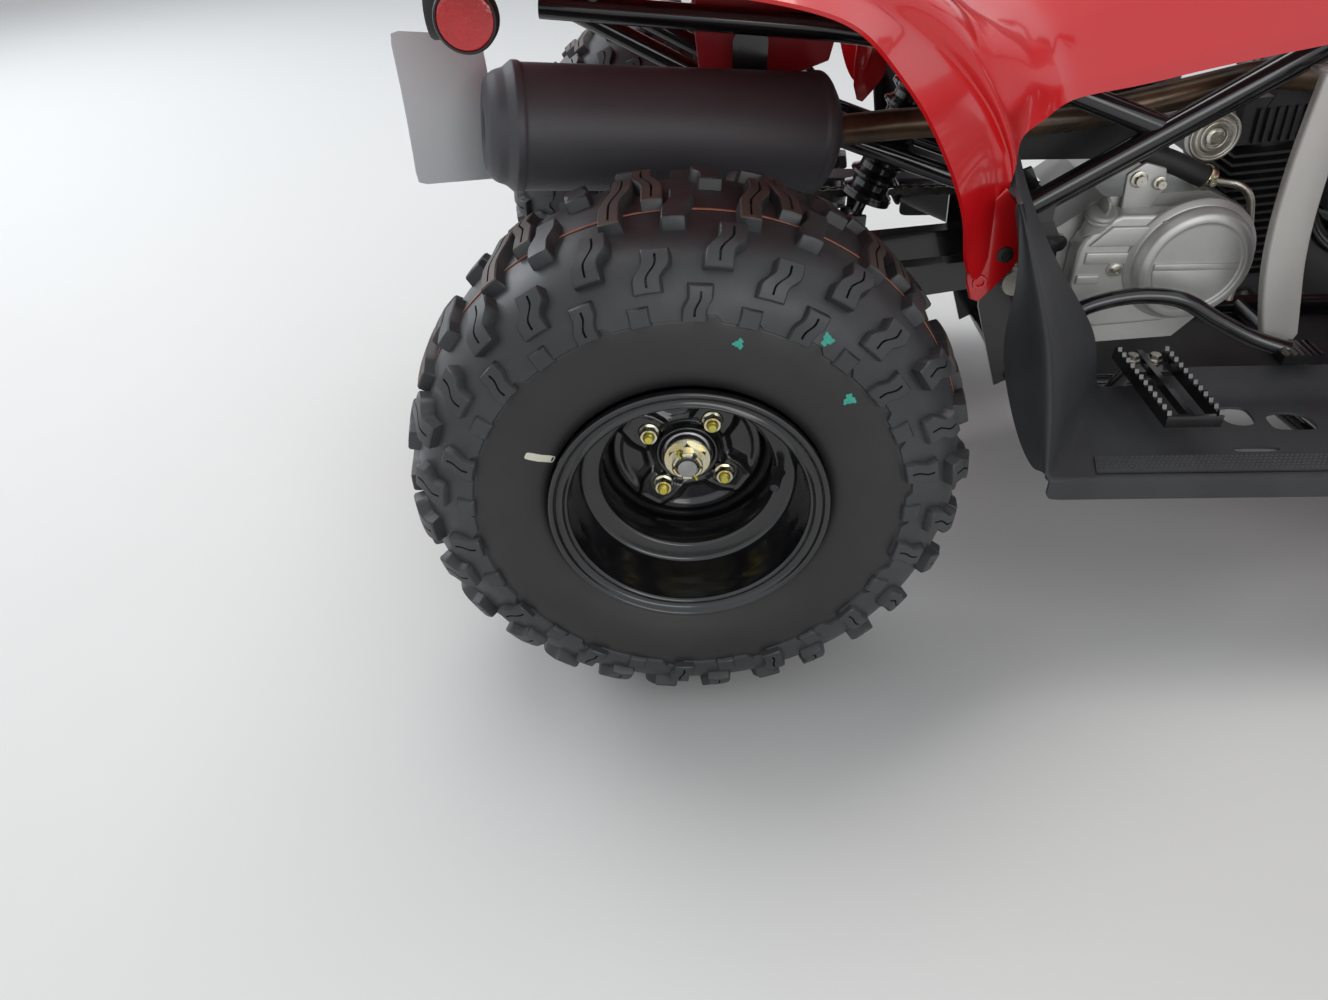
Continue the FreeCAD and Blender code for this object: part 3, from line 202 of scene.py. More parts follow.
looks = {
    "fenderRed": dict(base=(0.70, 0.008, 0.012), tint=(0.62, 0.006, 0.012), rough=0.24, roughSpread=0.05, coat=0.6,
                      coatRough=0.06, patch=5.0, grain=220.0, grainStrength=0.03, wave=9.0, waveStrength=0.05),
    # a darker copy of the fender red: painted shade for the red panels that sit in shadow behind the beams
    "fenderUnderRed": dict(base=(0.42, 0.008, 0.014), tint=(0.34, 0.006, 0.012), rough=0.42, roughSpread=0.1,
                           grain=420.0, grainStrength=0.2),
    "footPlastic": dict(base=(0.030, 0.031, 0.034), tint=(0.048, 0.05, 0.054), rough=0.58, roughSpread=0.1,
                        patch=14.0, patchAmount=0.7, pebble=900.0, pebbleStrength=0.5, pebbleDepth=0.0004),
    "blackPlastic": dict(base=(0.018, 0.018, 0.02), tint=(0.03, 0.03, 0.033), rough=0.48, roughSpread=0.1,
                         patch=16.0, pebble=1400.0, pebbleStrength=0.35, pebbleDepth=0.0003),
    "framePaint": dict(base=(0.008, 0.008, 0.009), tint=(0.016, 0.016, 0.018), rough=0.2, roughSpread=0.08,
                       coat=0.5, patch=20.0, grain=260.0, grainStrength=0.06, wave=40.0, waveStrength=0.04),
    "rimPaint": dict(base=(0.006, 0.006, 0.007), tint=(0.014, 0.014, 0.016), rough=0.17, roughSpread=0.1,
                     coat=0.45, coatRough=0.08, patch=26.0, patchAmount=0.8, grain=300.0, grainStrength=0.05,
                     wave=45.0, waveStrength=0.06),
    "mufflerPaint": dict(base=(0.062, 0.062, 0.070), tint=(0.080, 0.080, 0.088), rough=0.52, roughSpread=0.1,
                         patch=12.0, grain=900.0, grainStrength=0.25, grainDepth=0.0002),
    "pipePaint": dict(base=(0.05, 0.038, 0.03), tint=(0.22, 0.14, 0.075), rough=0.3, roughSpread=0.12,
                      patch=14.0, patchAmount=0.8, metal=0.4, grain=700.0),
    "castSilver": dict(base=(0.60, 0.60, 0.58), tint=(0.50, 0.50, 0.485), rough=0.42, roughSpread=0.12, metal=0.4,
                       patch=22.0, patchAmount=0.6, grain=900.0, grainStrength=0.35, grainDepth=0.0003),
    "finBlack": dict(base=(0.016, 0.016, 0.017), tint=(0.03, 0.029, 0.028), rough=0.36, roughSpread=0.12,
                     patch=30.0, grain=800.0, grainStrength=0.3),
    "guardGrey": dict(base=(0.60, 0.58, 0.55), tint=(0.54, 0.52, 0.50), rough=0.36, roughSpread=0.08, metal=0.25,
                      patch=10.0, patchAmount=0.6, grain=1100.0, grainStrength=0.2, grainDepth=0.0002),
    "zincGold": dict(base=(0.72, 0.62, 0.36), tint=(0.66, 0.70, 0.66), rough=0.26, roughSpread=0.12, metal=1.0,
                     patch=90.0, patchAmount=0.9, grain=1500.0, grainStrength=0.2, grainDepth=0.0002),
    "zincYellow": dict(base=(0.74, 0.62, 0.10), tint=(0.50, 0.52, 0.12), rough=0.3, roughSpread=0.1, metal=0.7,
                       patch=160.0, patchAmount=0.9, grain=1500.0, grainStrength=0.2, grainDepth=0.0002),
    "zincSilver": dict(base=(0.62, 0.60, 0.54), tint=(0.48, 0.45, 0.36), rough=0.3, roughSpread=0.14, metal=1.0,
                       patch=70.0, patchAmount=0.8, grain=1500.0, grainStrength=0.25, grainDepth=0.0002),
    "steelBare": dict(base=(0.42, 0.42, 0.43), tint=(0.3, 0.29, 0.28), rough=0.34, roughSpread=0.14, metal=1.0,
                      patch=60.0, patchAmount=0.7, grain=1300.0, grainStrength=0.2),
    "chainSteel": dict(base=(0.16, 0.15, 0.14), tint=(0.07, 0.06, 0.05), rough=0.38, roughSpread=0.14, metal=0.9,
                       patch=120.0, patchAmount=0.8, grain=1500.0),
    "vinyl": dict(base=(0.014, 0.014, 0.015), tint=(0.022, 0.022, 0.024), rough=0.46, roughSpread=0.08, patch=9.0,
                  pebble=620.0, pebbleStrength=0.45, pebbleDepth=0.0005),
    "vinylSeam": dict(base=(0.028, 0.028, 0.03), tint=(0.05, 0.05, 0.052), rough=0.6, roughSpread=0.08, patch=40.0,
                      grain=900.0, grainStrength=0.4),
    "capGrey": dict(base=(0.42, 0.42, 0.39), tint=(0.33, 0.33, 0.31), rough=0.45, metal=0.3, patch=40.0, grain=900.0,
                    grainStrength=0.3),
    "rubber": dict(base=(0.014, 0.014, 0.015), tint=(0.028, 0.028, 0.03), rough=0.55, roughSpread=0.1, patch=22.0,
                   patchAmount=0.7, grain=1200.0, grainStrength=0.25),
    "lensRed": dict(base=(0.62, 0.010, 0.012), tint=(0.45, 0.006, 0.01), rough=0.14, roughSpread=0.04, coat=0.8,
                    patch=60.0, pebble=420.0, pebbleStrength=0.6, pebbleDepth=0.0008),
    "cardWhite": dict(base=(0.88, 0.93, 0.95), tint=(0.82, 0.88, 0.91), rough=0.42, roughSpread=0.06, patch=10.0,
                      grain=900.0, grainStrength=0.06),
    "paintGreen": dict(base=(0.03, 0.36, 0.27), tint=(0.06, 0.46, 0.36), rough=0.5, patch=220.0, patchAmount=1.0,
                       grain=900.0, grainStrength=0.3),
    "paintOrange": dict(base=(0.44, 0.15, 0.09), tint=(0.24, 0.08, 0.05), rough=0.55, patch=70.0, patchAmount=1.0),
    "labelCream": dict(base=(0.72, 0.71, 0.60), tint=(0.64, 0.62, 0.5), rough=0.5, patch=90.0),
}
materials = {name: surface(name, look) for name, look in looks.items()}
print("materials made", len(materials))


# Mesh helpers; places are in millimetres in the source's frame until a piece is made
sides = ((-1, "Right"), (1, "Left"))


def linked(name, data):
    made = bpy.data.objects.new(name, data)
    bpy.context.scene.collection.objects.link(made)
    return made


def meshObject(name, vertices, faces, edges=()):
    mesh = bpy.data.meshes.new(name)
    mesh.from_pydata([tuple(v) for v in vertices], edges, faces)
    return linked(name, mesh)


def evaluatedMesh(piece, **options):
    bpy.context.view_layer.update()
    graph = bpy.context.evaluated_depsgraph_get()
    return bpy.data.meshes.new_from_object(piece.evaluated_get(graph), depsgraph=graph, **options)


def finishMesh(mesh, sharp=None):
    work = bmesh.new()
    work.from_mesh(mesh)
    bmesh.ops.remove_doubles(work, verts=work.verts, dist=1e-6)
    bmesh.ops.recalc_face_normals(work, faces=work.faces)
    work.to_mesh(mesh)
    work.free()
    mesh.shade_smooth()
    mesh.set_sharp_from_angle(angle=math.radians(sharp or 35))
    mesh.update()


def applied(piece):
    # the modifiers go into the mesh
    mesh = evaluatedMesh(piece, preserve_all_data_layers=True)
    piece.modifiers.clear()
    piece.data = mesh
    return piece


def subdivided(piece, levels):
    rounding = piece.modifiers.new("round", "SUBSURF")
    rounding.levels = rounding.render_levels = levels


def softened(piece, width, segments=2, levels=0, angle=40):
    bevel = piece.modifiers.new("edges", "BEVEL")
    bevel.width = width * mm
    bevel.segments = segments
    bevel.limit_method = "ANGLE"
    bevel.angle_limit = math.radians(angle)
    if levels:
        subdivided(piece, levels)
    applied(piece)
    piece.data.shade_smooth()
    piece.data.set_sharp_from_angle(angle=math.radians(50))
    return piece


class Shape:
    # vertices and faces gathered from several forms that make one mesh

    def __init__(self):
        self.vertices = []
        self.faces = []
        self.slots = []

    def add(self, vertices, faces, slot=0, place=None):
        start = len(self.vertices)
        self.vertices += [place @ Vector(v) if place else Vector(v) for v in vertices]
        self.faces += [[i + start for i in face] for face in faces]
        self.slots += [slot] * len(faces)
        return self

    def slab(self, outline, depth, at, slot=0):
        # a flat outline made thick; at(a, b, d) is the place of its point (a, b) at depth d
        vertices, faces = prism(outline, depth)
        return self.add([at(*v) for v in vertices], faces, slot)

    def piece(self, name, material, body, slot=None, parts=(), sharp=None):
        made = meshObject(name, [v * mm for v in self.vertices], self.faces)
        for used in (material, *parts):
            made.data.materials.append(materials[used])
        made.data.polygons.foreach_set("material_index", self.slots)
        finishMesh(made.data, sharp)
        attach(made, body)
        return made


def gridFaces(rows, columns, closedRows=False, closedColumns=False):
    faces = []
    for i in range(rows if closedRows else rows - 1):
        for j in range(columns if closedColumns else columns - 1):
            a = i * columns + j
            b = i * columns + (j + 1) % columns
            c = ((i + 1) % rows) * columns + (j + 1) % columns
            d = ((i + 1) % rows) * columns + j
            faces.append([a, b, c, d])
    return faces


def lathe(profile, segments, closed=False):
    # points (radius, along) turned about the Y axis
    turns = [math.radians(360.0 * i / segments) for i in range(segments)]
    vertices = [(r * math.cos(turn), y, r * math.sin(turn)) for turn in turns for r, y in profile]
    return vertices, gridFaces(segments, len(profile), closedRows=True, closedColumns=closed)


def turnedAlong(profile, segments):
    # points (radius, height) turned about the Z axis
    turns = [2 * math.pi * i / segments for i in range(segments)]
    vertices = [(r * math.cos(turn), r * math.sin(turn), z) for turn in turns for r, z in profile]
    return vertices, gridFaces(segments, len(profile), closedRows=True)


def smoothLine(points, steps=6):
    pts = [Vector(p) for p in points]
    out = []
    for i in range(len(pts) - 1):
        before = pts[i - 1] if i else pts[i] * 2 - pts[i + 1]
        after = pts[i + 2] if i + 2 < len(pts) else pts[i + 1] * 2 - pts[i]
        for k in range(steps):
            t = k / steps
            a = pts[i] * 2
            b = pts[i + 1] - before
            c = before * 2 - pts[i] * 5 + pts[i + 1] * 4 - after
            d = pts[i] * 3 - pts[i + 1] * 3 + after - before
            out.append((a + b * t + c * t * t + d * t ** 3) / 2)
    out.append(pts[-1])
    return out


def tubeAlong(points, radius, around):
    pts = [Vector(p) for p in points]
    vertices = []
    side = None
    for i, point in enumerate(pts):
        ahead = pts[min(i + 1, len(pts) - 1)] - pts[max(i - 1, 0)]
        ahead.normalize()
        if side is None:
            side = ahead.orthogonal().normalized()
        side = (side - ahead * side.dot(ahead)).normalized()
        other = ahead.cross(side)
        for k in range(around):
            turn = 2 * math.pi * k / around
            vertices.append(point + side * (radius * math.cos(turn)) + other * (radius * math.sin(turn)))
    return vertices, gridFaces(len(pts), around, closedColumns=True) + endFaces(len(pts), around)


def endFaces(rows, columns):
    # the first and the last row closed by a face each
    return [list(range(columns))[::-1], [(rows - 1) * columns + k for k in range(columns)]]


def prism(outline, depth):
    # a flat outline of (x, y) points made thick from z 0 to depth
    count = len(outline)
    vertices = [(x, y, 0) for x, y in outline] + [(x, y, depth) for x, y in outline]
    faces = [list(range(count))[::-1], [count + i for i in range(count)]]
    faces += [[i, (i + 1) % count, count + (i + 1) % count, count + i] for i in range(count)]
    return vertices, faces


def facing(origin, along, up=(0, 0, 1)):
    # a frame at origin whose Z axis points along the given direction
    z = Vector(along).normalized()
    x = Vector(up).cross(z)
    if x.length < 1e-6:
        x = Vector((1, 0, 0))
    x.normalize()
    y = z.cross(x)
    turn = Matrix((x, y, z)).transposed().to_4x4()
    return Matrix.Translation(Vector(origin)) @ turn


# Geometry Nodes: copies of one form, made real and given their material
def paintCopies(tree, copies, start, end):
    real = addNode(tree, "GeometryNodeRealizeInstances")
    paint = addNode(tree, "GeometryNodeSetMaterial")
    joinAll(tree, (copies.outputs[0], real.inputs[0]), (real.outputs[0], paint.inputs["Geometry"]),
            (start.outputs["Material"], paint.inputs["Material"]), (paint.outputs[0], end.inputs[0]))


def ringTree():
    tree, start, end = newGroup(
        "copiesRoundAnAxis", "GeometryNodeTree",
        [("Geometry", "Geometry"), ("Count", "Int"), ("First", "Float"), ("Sway", "Float"), ("Sway From", "Float"),
         ("Material", "Material")], [("Geometry", "Geometry")])
    given = start.outputs
    points = addNode(tree, "GeometryNodePoints")
    step = setMath(tree, "DIVIDE", 2 * math.pi, given["Count"])
    even = setMath(tree, "MULTIPLY", addNode(tree, "GeometryNodeInputIndex").outputs[0], step)
    wave = setMath(tree, "SINE", setMath(tree, "SUBTRACT", even, given["Sway From"]))
    turn = setMath(tree, "ADD", setMath(tree, "ADD", even, given["First"]),
                   setMath(tree, "MULTIPLY", wave, given["Sway"]))
    angles = addNode(tree, "ShaderNodeCombineXYZ")
    copies = addNode(tree, "GeometryNodeInstanceOnPoints")
    joinAll(tree, (given["Count"], points.inputs["Count"]),
            (setMath(tree, "MULTIPLY", turn, -1.0), angles.inputs["Y"]),
            (points.outputs[0], copies.inputs["Points"]), (given["Geometry"], copies.inputs["Instance"]),
            (angles.outputs[0], copies.inputs["Rotation"]))
    paintCopies(tree, copies, start, end)
    return tree


ringOfCopies = ringTree()


def copiesFrom(holder, tree, **values):
    # the vertices and faces that a tree makes from the holder, which is then removed
    modifier = holder.modifiers.new("copies", "NODES")
    modifier.node_group = tree
    for item in tree.interface.items_tree:
        label = item.name.replace(" ", "_")
        if item.in_out == "INPUT" and label in values:
            modifier[item.identifier] = values[label]
    made = evaluatedMesh(holder)
    result = [v.co.copy() for v in made.vertices], [list(p.vertices) for p in made.polygons]
    for mesh in (made, holder.data):
        bpy.data.meshes.remove(mesh)
    return result


def ringMesh(vertices, faces, count, first, material, sway=0.0, swayFrom=0.0):
    # count copies of a form round the Y axis; angles in degrees
    return copiesFrom(meshObject("ringPart", vertices, faces), ringOfCopies, Count=count,
                      First=math.radians(first), Sway=math.radians(sway), Sway_From=math.radians(swayFrom),
                      Material=materials[material])


# Camera at the photograph's place, plain floor and soft light
cameraSetup = {"lens": 25.766, "sensor": 36.0, "place": (-0.5314, -1.0416, 0.7265),
               "yaw": -1.0, "pitch": 37.68, "roll": -1.34}   # metres and degrees
stageSetup = {"floorSize": 24.0, "floorColor": (0.80, 0.80, 0.79), "worldLight": 0.42, "worldColor": (0.93, 0.96, 1.0)}
lampTable = [   # name, place, aimed at, size, power, colour
    ("ceilingLamp", (-0.6, 0.6, 3.2), (-0.2, -0.1, 0.3), (3.0, 1.2), 46.0, (1.0, 0.98, 0.95)),
    ("windowLamp", (-3.2, 1.8, 1.9), (-0.4, -0.2, 0.3), (2.4, 1.6), 46.0, (0.90, 0.95, 1.0)),
    ("fillLamp", (0.6, -3.4, 1.6), (-0.2, 0.0, 0.3), (2.4, 1.4), 26.0, (1.0, 0.99, 0.97)),
]


def placeCamera(look):
    yaw, pitch, roll = (math.radians(look[key]) for key in ("yaw", "pitch", "roll"))
    ahead = Vector((math.sin(yaw) * math.cos(pitch), math.cos(yaw) * math.cos(pitch), -math.sin(pitch)))
    right = Vector((math.cos(yaw), -math.sin(yaw), 0))
    up = right.cross(ahead)
    across = right * math.cos(roll) + up * math.sin(roll)
    upward = up * math.cos(roll) - right * math.sin(roll)
    data = bpy.data.cameras.new("photoCamera")
    data.lens = look["lens"]
    data.sensor_width = look["sensor"]
    data.clip_start = 0.02
    camera = linked("photoCamera", data)
    turn = Matrix((across, upward, -ahead)).transposed().to_4x4()
    camera.matrix_world = Matrix.Translation(Vector(look["place"])) @ turn
    bpy.context.scene.camera = camera


def makeStage(look):
    half = look["floorSize"] / 2
    floor = meshObject("floor", [(-half, -half, 0), (half, -half, 0), (half, half, 0), (-half, half, 0)],
                       [[0, 1, 2, 3]])
    color = look["floorColor"]
    paint = dict(base=color, tint=tuple(0.985 * c for c in color), rough=0.62, patch=1.2, grain=60.0,
                 grainStrength=0.04)
    floor.data.materials.append(surface("floorPaint", paint))
    world = bpy.data.worlds.new("studio")
    bpy.context.scene.world = world
    world.use_nodes = True
    tree = world.node_tree
    back = tree.nodes["Background"]
    back.inputs["Color"].default_value = look["worldColor"] + (1,)
    path = addNode(tree, "ShaderNodeLightPath")
    seen = setMath(tree, "MAXIMUM", path.outputs["Is Camera Ray"], path.outputs["Is Glossy Ray"])
    seen = setMath(tree, "MAXIMUM", seen, path.outputs["Is Transmission Ray"])
    strength = setMath(tree, "ADD", setMath(tree, "MULTIPLY", seen, 1.0 - look["worldLight"]), look["worldLight"])
    joinAll(tree, (strength, back.inputs["Strength"]))


def hangLamps(rows):
    for name, place, target, size, power, color in rows:
        data = bpy.data.lights.new(name, "AREA")
        data.shape = "RECTANGLE"
        data.size, data.size_y = size
        data.energy = power
        data.color = color
        lamp = linked(name, data)
        away = Vector(place) - Vector(target)
        lamp.matrix_world = Matrix.Translation(Vector(place)) @ away.to_track_quat("Z", "Y").to_matrix().to_4x4()


placeCamera(cameraSetup)
makeStage(stageSetup)
hangLamps(lampTable)
bpy.context.scene.view_settings.view_transform = "Standard"
print("camera, floor and lamps placed")


# Materials of the CAD solids that stay in sight
nodeLooks = {
    "blackPlastic": ["air_box", "chain_guard", "bar_controls", "skid_plate", "rear_brake_panel"],
    "framePaint": ["frame", "rear_subframe", "swingarm", "front_bumper", "front_lower_arms", "front_upper_arms",
                   "steering_stem", "handlebar", "knuckle_right", "knuckle_left", "footpegs", "rear_shock",
                   "front_shocks"],
    "pipePaint": ["exhaust_pipe"],
    "castSilver": ["engine_crankcase", "carburettor", "rear_brake_drum", "front_hub_right", "front_hub_left"],
    "finBlack": ["cylinder", "cylinder_head"],
    "zincSilver": ["breather_pipe", "tie_rod_right", "tie_rod_left", "swingarm_bolt"],
    "steelBare": ["rear_sprocket", "engine_sprocket"],
    "rubber": ["breather_hose"],
}
for look, names in nodeLooks.items():
    for name in names:
        dressed = frame["nodes"][name].data.materials
        dressed.clear()
        dressed.append(materials[look])


def middleOf(node):
    low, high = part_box(node)
    return (low + high) / 2 / mm


def sizeOf(node):
    low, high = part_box(node)
    return (high - low) / mm


# Tyres
tyreProfiles = {   # (outward from the middle of the tyre, radius), bead to crown; the inner half is its mirror
    "surface": ((84, 118), (92, 128), (98.5, 145), (101, 165), (100.5, 180), (97, 197), (90, 213), (78, 226),
                (60, 234), (40, 238), (20, 240.5), (0, 241.5)),
    "carcass": ((84, 116), (87, 119.5), (88.5, 124), (91.5, 130), (94.3, 140), (96.2, 155), (95.7, 165), (93.6, 173.4),
                (93.2, 174.6), (95.2, 176), (94.4, 181), (91, 193), (85, 204.5), (75, 215), (60, 223.5), (40, 229),
                (20, 231.7), (0, 232.5)),
    "reach": (101.5, 241.5, 116.0),   # half width, radius and bead that these points are drawn for
}
lugTable = [   # name, degrees after the first row, from and to along the surface, width, shift, below top, slit
    ("ledgeLug", 0.0, 63, 90, 17, 4, 1.0, True),
    ("shoulderLug", 9.0, 86, 118, 20, 8, 0.6, True),
    ("sideLug", -5.0, 103, 142, 20, 9, 0.0, True),
    ("middleLug", 3.7, 146, 188, 17, 6, 0.0, False),
    ("crownLug", 14.7, 150, 226, 16, 9, 0.0, True),
    ("ledgeBlock", 13.0, 61, 76, 15, 0, 3.6, False),
]
tyreLayout = {"pitches": 14, "firstRow": 62.25, "sway": -1.66, "swayFrom": 27.0, "otherHalf": -5.5,
              "lugDepth": 13.0, "flare": 2.2, "edge": 1.0, "slitHalf": 0.9, "slitDepth": 5.0, "slitEnd": 4.5,
              "tipDepth": 11.0, "ledgeStep": 5.0, "ledgeNarrow": 0.35, "raised": ((0.0, 0.42), (0.55, 0.80)),
              "steps": 224}


def fitProfile(points, halfWidth, radius):
    wide, high, bead = tyreProfiles["reach"]
    return [(y * halfWidth / wide, bead + (r - bead) * (radius - bead) / (high - bead)) for y, r in points]


class SurfaceLine:
    # the tyre's outer line from bead to bead, read by the distance along it as drawn

    def __init__(self, halfWidth, radius):
        drawn = [Vector((y, r, 0)) for y, r in tyreProfiles["surface"]]
        drawn = [p.xy for p in smoothLine(drawn + [Vector((-p.x, p.y, 0)) for p in drawn[-2::-1]], 4)]
        fitted = fitProfile([tuple(p) for p in drawn], halfWidth, radius)
        self.marks = [0.0]
        for a, b in zip(drawn, drawn[1:]):
            self.marks.append(self.marks[-1] + (b - a).length)
        self.points = [Vector(p) for p in fitted]

    def at(self, distance, depth):
        i = 1
        while i < len(self.marks) - 1 and self.marks[i] < distance:
            i += 1
        share = (distance - self.marks[i - 1]) / (self.marks[i] - self.marks[i - 1])
        along = self.points[i] - self.points[i - 1]
        inward = Vector((-along.y, along.x)).normalized()
        if inward.y > 0:
            inward = -inward
        place = self.points[i - 1] + along * share + inward * depth
        return place.x, place.y


def lugForm(line, row, layout, mirrorSide):
    start, end, width, shift, top, slit = row[2:]
    half = width / 2
    flare, edge, slot = layout["flare"], layout["edge"], layout["slitHalf"]
    depth = layout["lugDepth"]
    columns = [(-half - flare, depth), (-half, top + edge), (-half + edge, top), (-slot, top), (-slot * 0.8, -1),
               (slot * 0.8, -1), (slot, top), (half - edge, top), (half, top + edge), (half + flare, depth)]
    inner = layout["slitEnd"]
    count = 9
    middle = [start + inner + (end - start - 2 * inner) * i / count for i in range(count + 1)]
    rows = [(start - flare, depth), (start, top + edge), (start + edge, top), (middle[0] - 0.2, top)]
    rows += [(s, -1) for s in middle]
    rows += [(middle[-1] + 0.2, top), (end - edge, top), (end, top + edge), (end + flare, depth)]
    vertices = []
    for s, rowDepth in rows:
        share = min(max((s - start) / (end - start), 0.0), 1.0)
        bend = min(max((share - 0.3) / 0.4, 0.0), 1.0)
        centre = -shift * (bend * bend * (3 - 2 * bend) - 0.5)
        for a, columnDepth in columns:
            if columnDepth == -1:
                below = top + layout["slitDepth"] if slit and rowDepth == -1 else top
            else:
                below = columnDepth
            if rowDepth != -1:
                below = max(below, rowDepth)
            y, r = line.at(s, below)
            angle = (centre + a) / line.at(s, 0.0)[1]
            vertices.append((r * math.cos(angle), mirrorSide * y, r * math.sin(angle)))
    faces = gridFaces(len(rows), len(columns))
    edgeLoop = list(range(len(columns)))
    edgeLoop += [i * len(columns) + len(columns) - 1 for i in range(1, len(rows))]
    edgeLoop += [(len(rows) - 1) * len(columns) + j for j in range(len(columns) - 2, -1, -1)]
    edgeLoop += [i * len(columns) for i in range(len(rows) - 2, 0, -1)]
    centrePoint = Vector((0, 0, 0))
    for i in edgeLoop:
        centrePoint += Vector(vertices[i])
    vertices.append(centrePoint / len(edgeLoop))
    faces += [[a, b, len(vertices) - 1] for a, b in zip(edgeLoop, edgeLoop[1:] + edgeLoop[:1])]
    return vertices, faces


def carcassForm(halfWidth, radius, layout, side):
    # the ledge at the foot of the lugs goes up and down with each row of lugs
    outer = fitProfile(tyreProfiles["carcass"], halfWidth, radius)
    vertices = []
    for i in range(layout["steps"]):
        turn = 360.0 * i / layout["steps"]
        place = ((turn - layout["firstRow"]) * layout["pitches"] / 360.0) % 1.0
        sunk = 0.0 if any(low <= place < high for low, high in layout["raised"]) else 1.0
        lifts = {k: layout["ledgeStep"] * sunk for k in (7, 8, 9)}
        lifts[10] = 0.4 * layout["ledgeStep"] * sunk
        line = [(y - (layout["ledgeNarrow"] * sunk if k in (7, 8) else 0), r + lifts.get(k, 0))
                for k, (y, r) in enumerate(outer)]
        angle = math.radians(turn)
        vertices += [(r * math.cos(angle), side * y, r * math.sin(angle))
                     for y, r in line + [(-y, r) for y, r in line[-2::-1]]]
    return vertices, gridFaces(layout["steps"], 2 * len(outer) - 1, closedRows=True, closedColumns=True)


def dressTyre(shape, centre, halfWidth, radius, side):
    layout = tyreLayout
    place = Matrix.Translation(centre)
    line = SurfaceLine(halfWidth, radius)
    start, around = len(shape.slots), 2 * len(tyreProfiles["carcass"]) - 1
    shape.add(*carcassForm(halfWidth, radius, layout, side), place=place)
    for k in range(start, len(shape.slots)):
        if not 7 <= (k - start) % around < around - 8:
            shape.slots[k] = 1
    for half, shift in ((1, 0.0), (-1, layout["otherHalf"])):
        for row in lugTable:
            vertices, faces = ringMesh(*lugForm(line, row, layout, half * side), layout["pitches"],
                                       layout["firstRow"] + row[1] + shift, "tyreRubber", layout["sway"],
                                       layout["swayFrom"])
            start = len(shape.slots)
            shape.add(vertices, faces, place=place)
            if row[0] == "crownLug":
                for k, face in enumerate(faces):
                    if min(math.hypot(vertices[i][0], vertices[i][2]) for i in face) > radius - layout["tipDepth"]:
                        shape.slots[start + k] = 2


tyreLooks = {
    "tyreRubber": dict(base=(0.030, 0.031, 0.033), tint=(0.056, 0.058, 0.060), rough=0.44, roughSpread=0.14,
                       patch=9.0, patchAmount=0.9, grain=700.0, grainStrength=0.25, grainDepth=0.0003),
    "tyreSide": dict(base=(0.017, 0.016, 0.017), tint=(0.028, 0.026, 0.026), rough=0.46, roughSpread=0.1,
                     patch=9.0, patchAmount=0.8, grain=700.0, grainStrength=0.2, grainDepth=0.0003),
    "tyreTip": dict(base=(0.046, 0.041, 0.038), tint=(0.092, 0.064, 0.048), rough=0.55, roughSpread=0.1,
                    patch=30.0, patchAmount=1.0, grain=700.0, grainStrength=0.3, grainDepth=0.0003),
}
materials.update({name: surface(name, look) for name, look in tyreLooks.items()})


def makeTyres():
    # the rear tyres are one piece, the front ones a piece each
    low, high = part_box("rear_tyres")
    centre, half = middleOf("rear_tyres"), tyreProfiles["reach"][0]
    rear = [(Vector((centre.x, side * (high.y / mm - half), centre.z)), side) for side, _ in sides]
    rows = [("rearTyres", "rear_tyres", "rear_axle", half, (high.z - low.z) / 2 / mm, rear)]
    for side, name in sides:
        node = "front_tyre_" + name.lower()
        size = sizeOf(node)
        rows.append(("frontTyre" + name, node, "front_wheel_" + name.lower(), size.y / 2, size.z / 2,
                     [(middleOf(node), side)]))
    for pieceName, node, body, half, radius, places in rows:
        shape = Shape()
        for centre, side in places:
            dressTyre(shape, centre, half, radius, side)
        piece = shape.piece(pieceName, "tyreRubber", body, "tyre", parts=["tyreSide", "tyreTip"])
        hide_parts(node)


makeTyres()
print("tyres made")


# Rims: a stepped barrel and a pressed disc with four raised lobes; outward is away from the middle
rimTable = {
    "rear": {"bead": 101.6, "half": 82.5, "well": 77.3, "wellEdge": 40.0, "disc": -3.0, "bore": 22.0},
    "front": {"bead": 101.6, "half": 69.5, "well": 90.0, "wellEdge": 36.0, "disc": 12.0, "bore": 22.0},
}
discShape = {"firstLobe": 56.95, "lobeReach": 63.5, "lobeHalf": 17.5, "lobeTip": 12.5, "lobeRise": 3.2, "edgeRoll": 1.0,
             "nutCircle": 40.0, "scoop": 3.0, "collar": 28.0, "thickness": 3.4, "turns": 180}
barrelSegments = 120
wheelTurns = {"rear": (discShape["firstLobe"], 3.0), "front": (12.0, 100.0)}   # first lobe, valve
nutShape = {"acrossFlats": 14.0, "height": 8.5, "studRadius": 4.4, "studReach": 13.5}


def roundCorners(points, radius=2.0, steps=3):
    # each corner of a line of (x, y) points becomes a short curve
    pts = [Vector(p) for p in points]
    out = [pts[0]]
    for before, corner, after in zip(pts, pts[1:], pts[2:]):
        a, b = before - corner, after - corner
        reach = min(radius, a.length * 0.45, b.length * 0.45)
        first, last = corner + a.normalized() * reach, corner + b.normalized() * reach
        for k in range(steps + 1):
            t = k / steps
            out.append(first * (1 - t) ** 2 + corner * 2 * t * (1 - t) + last * t * t)
    out.append(pts[-1])
    return [tuple(p) for p in out]


def smoothStep(low, high, value):
    share = min(max((value - low) / (high - low), 0.0), 1.0)
    return share * share * (3 - 2 * share)


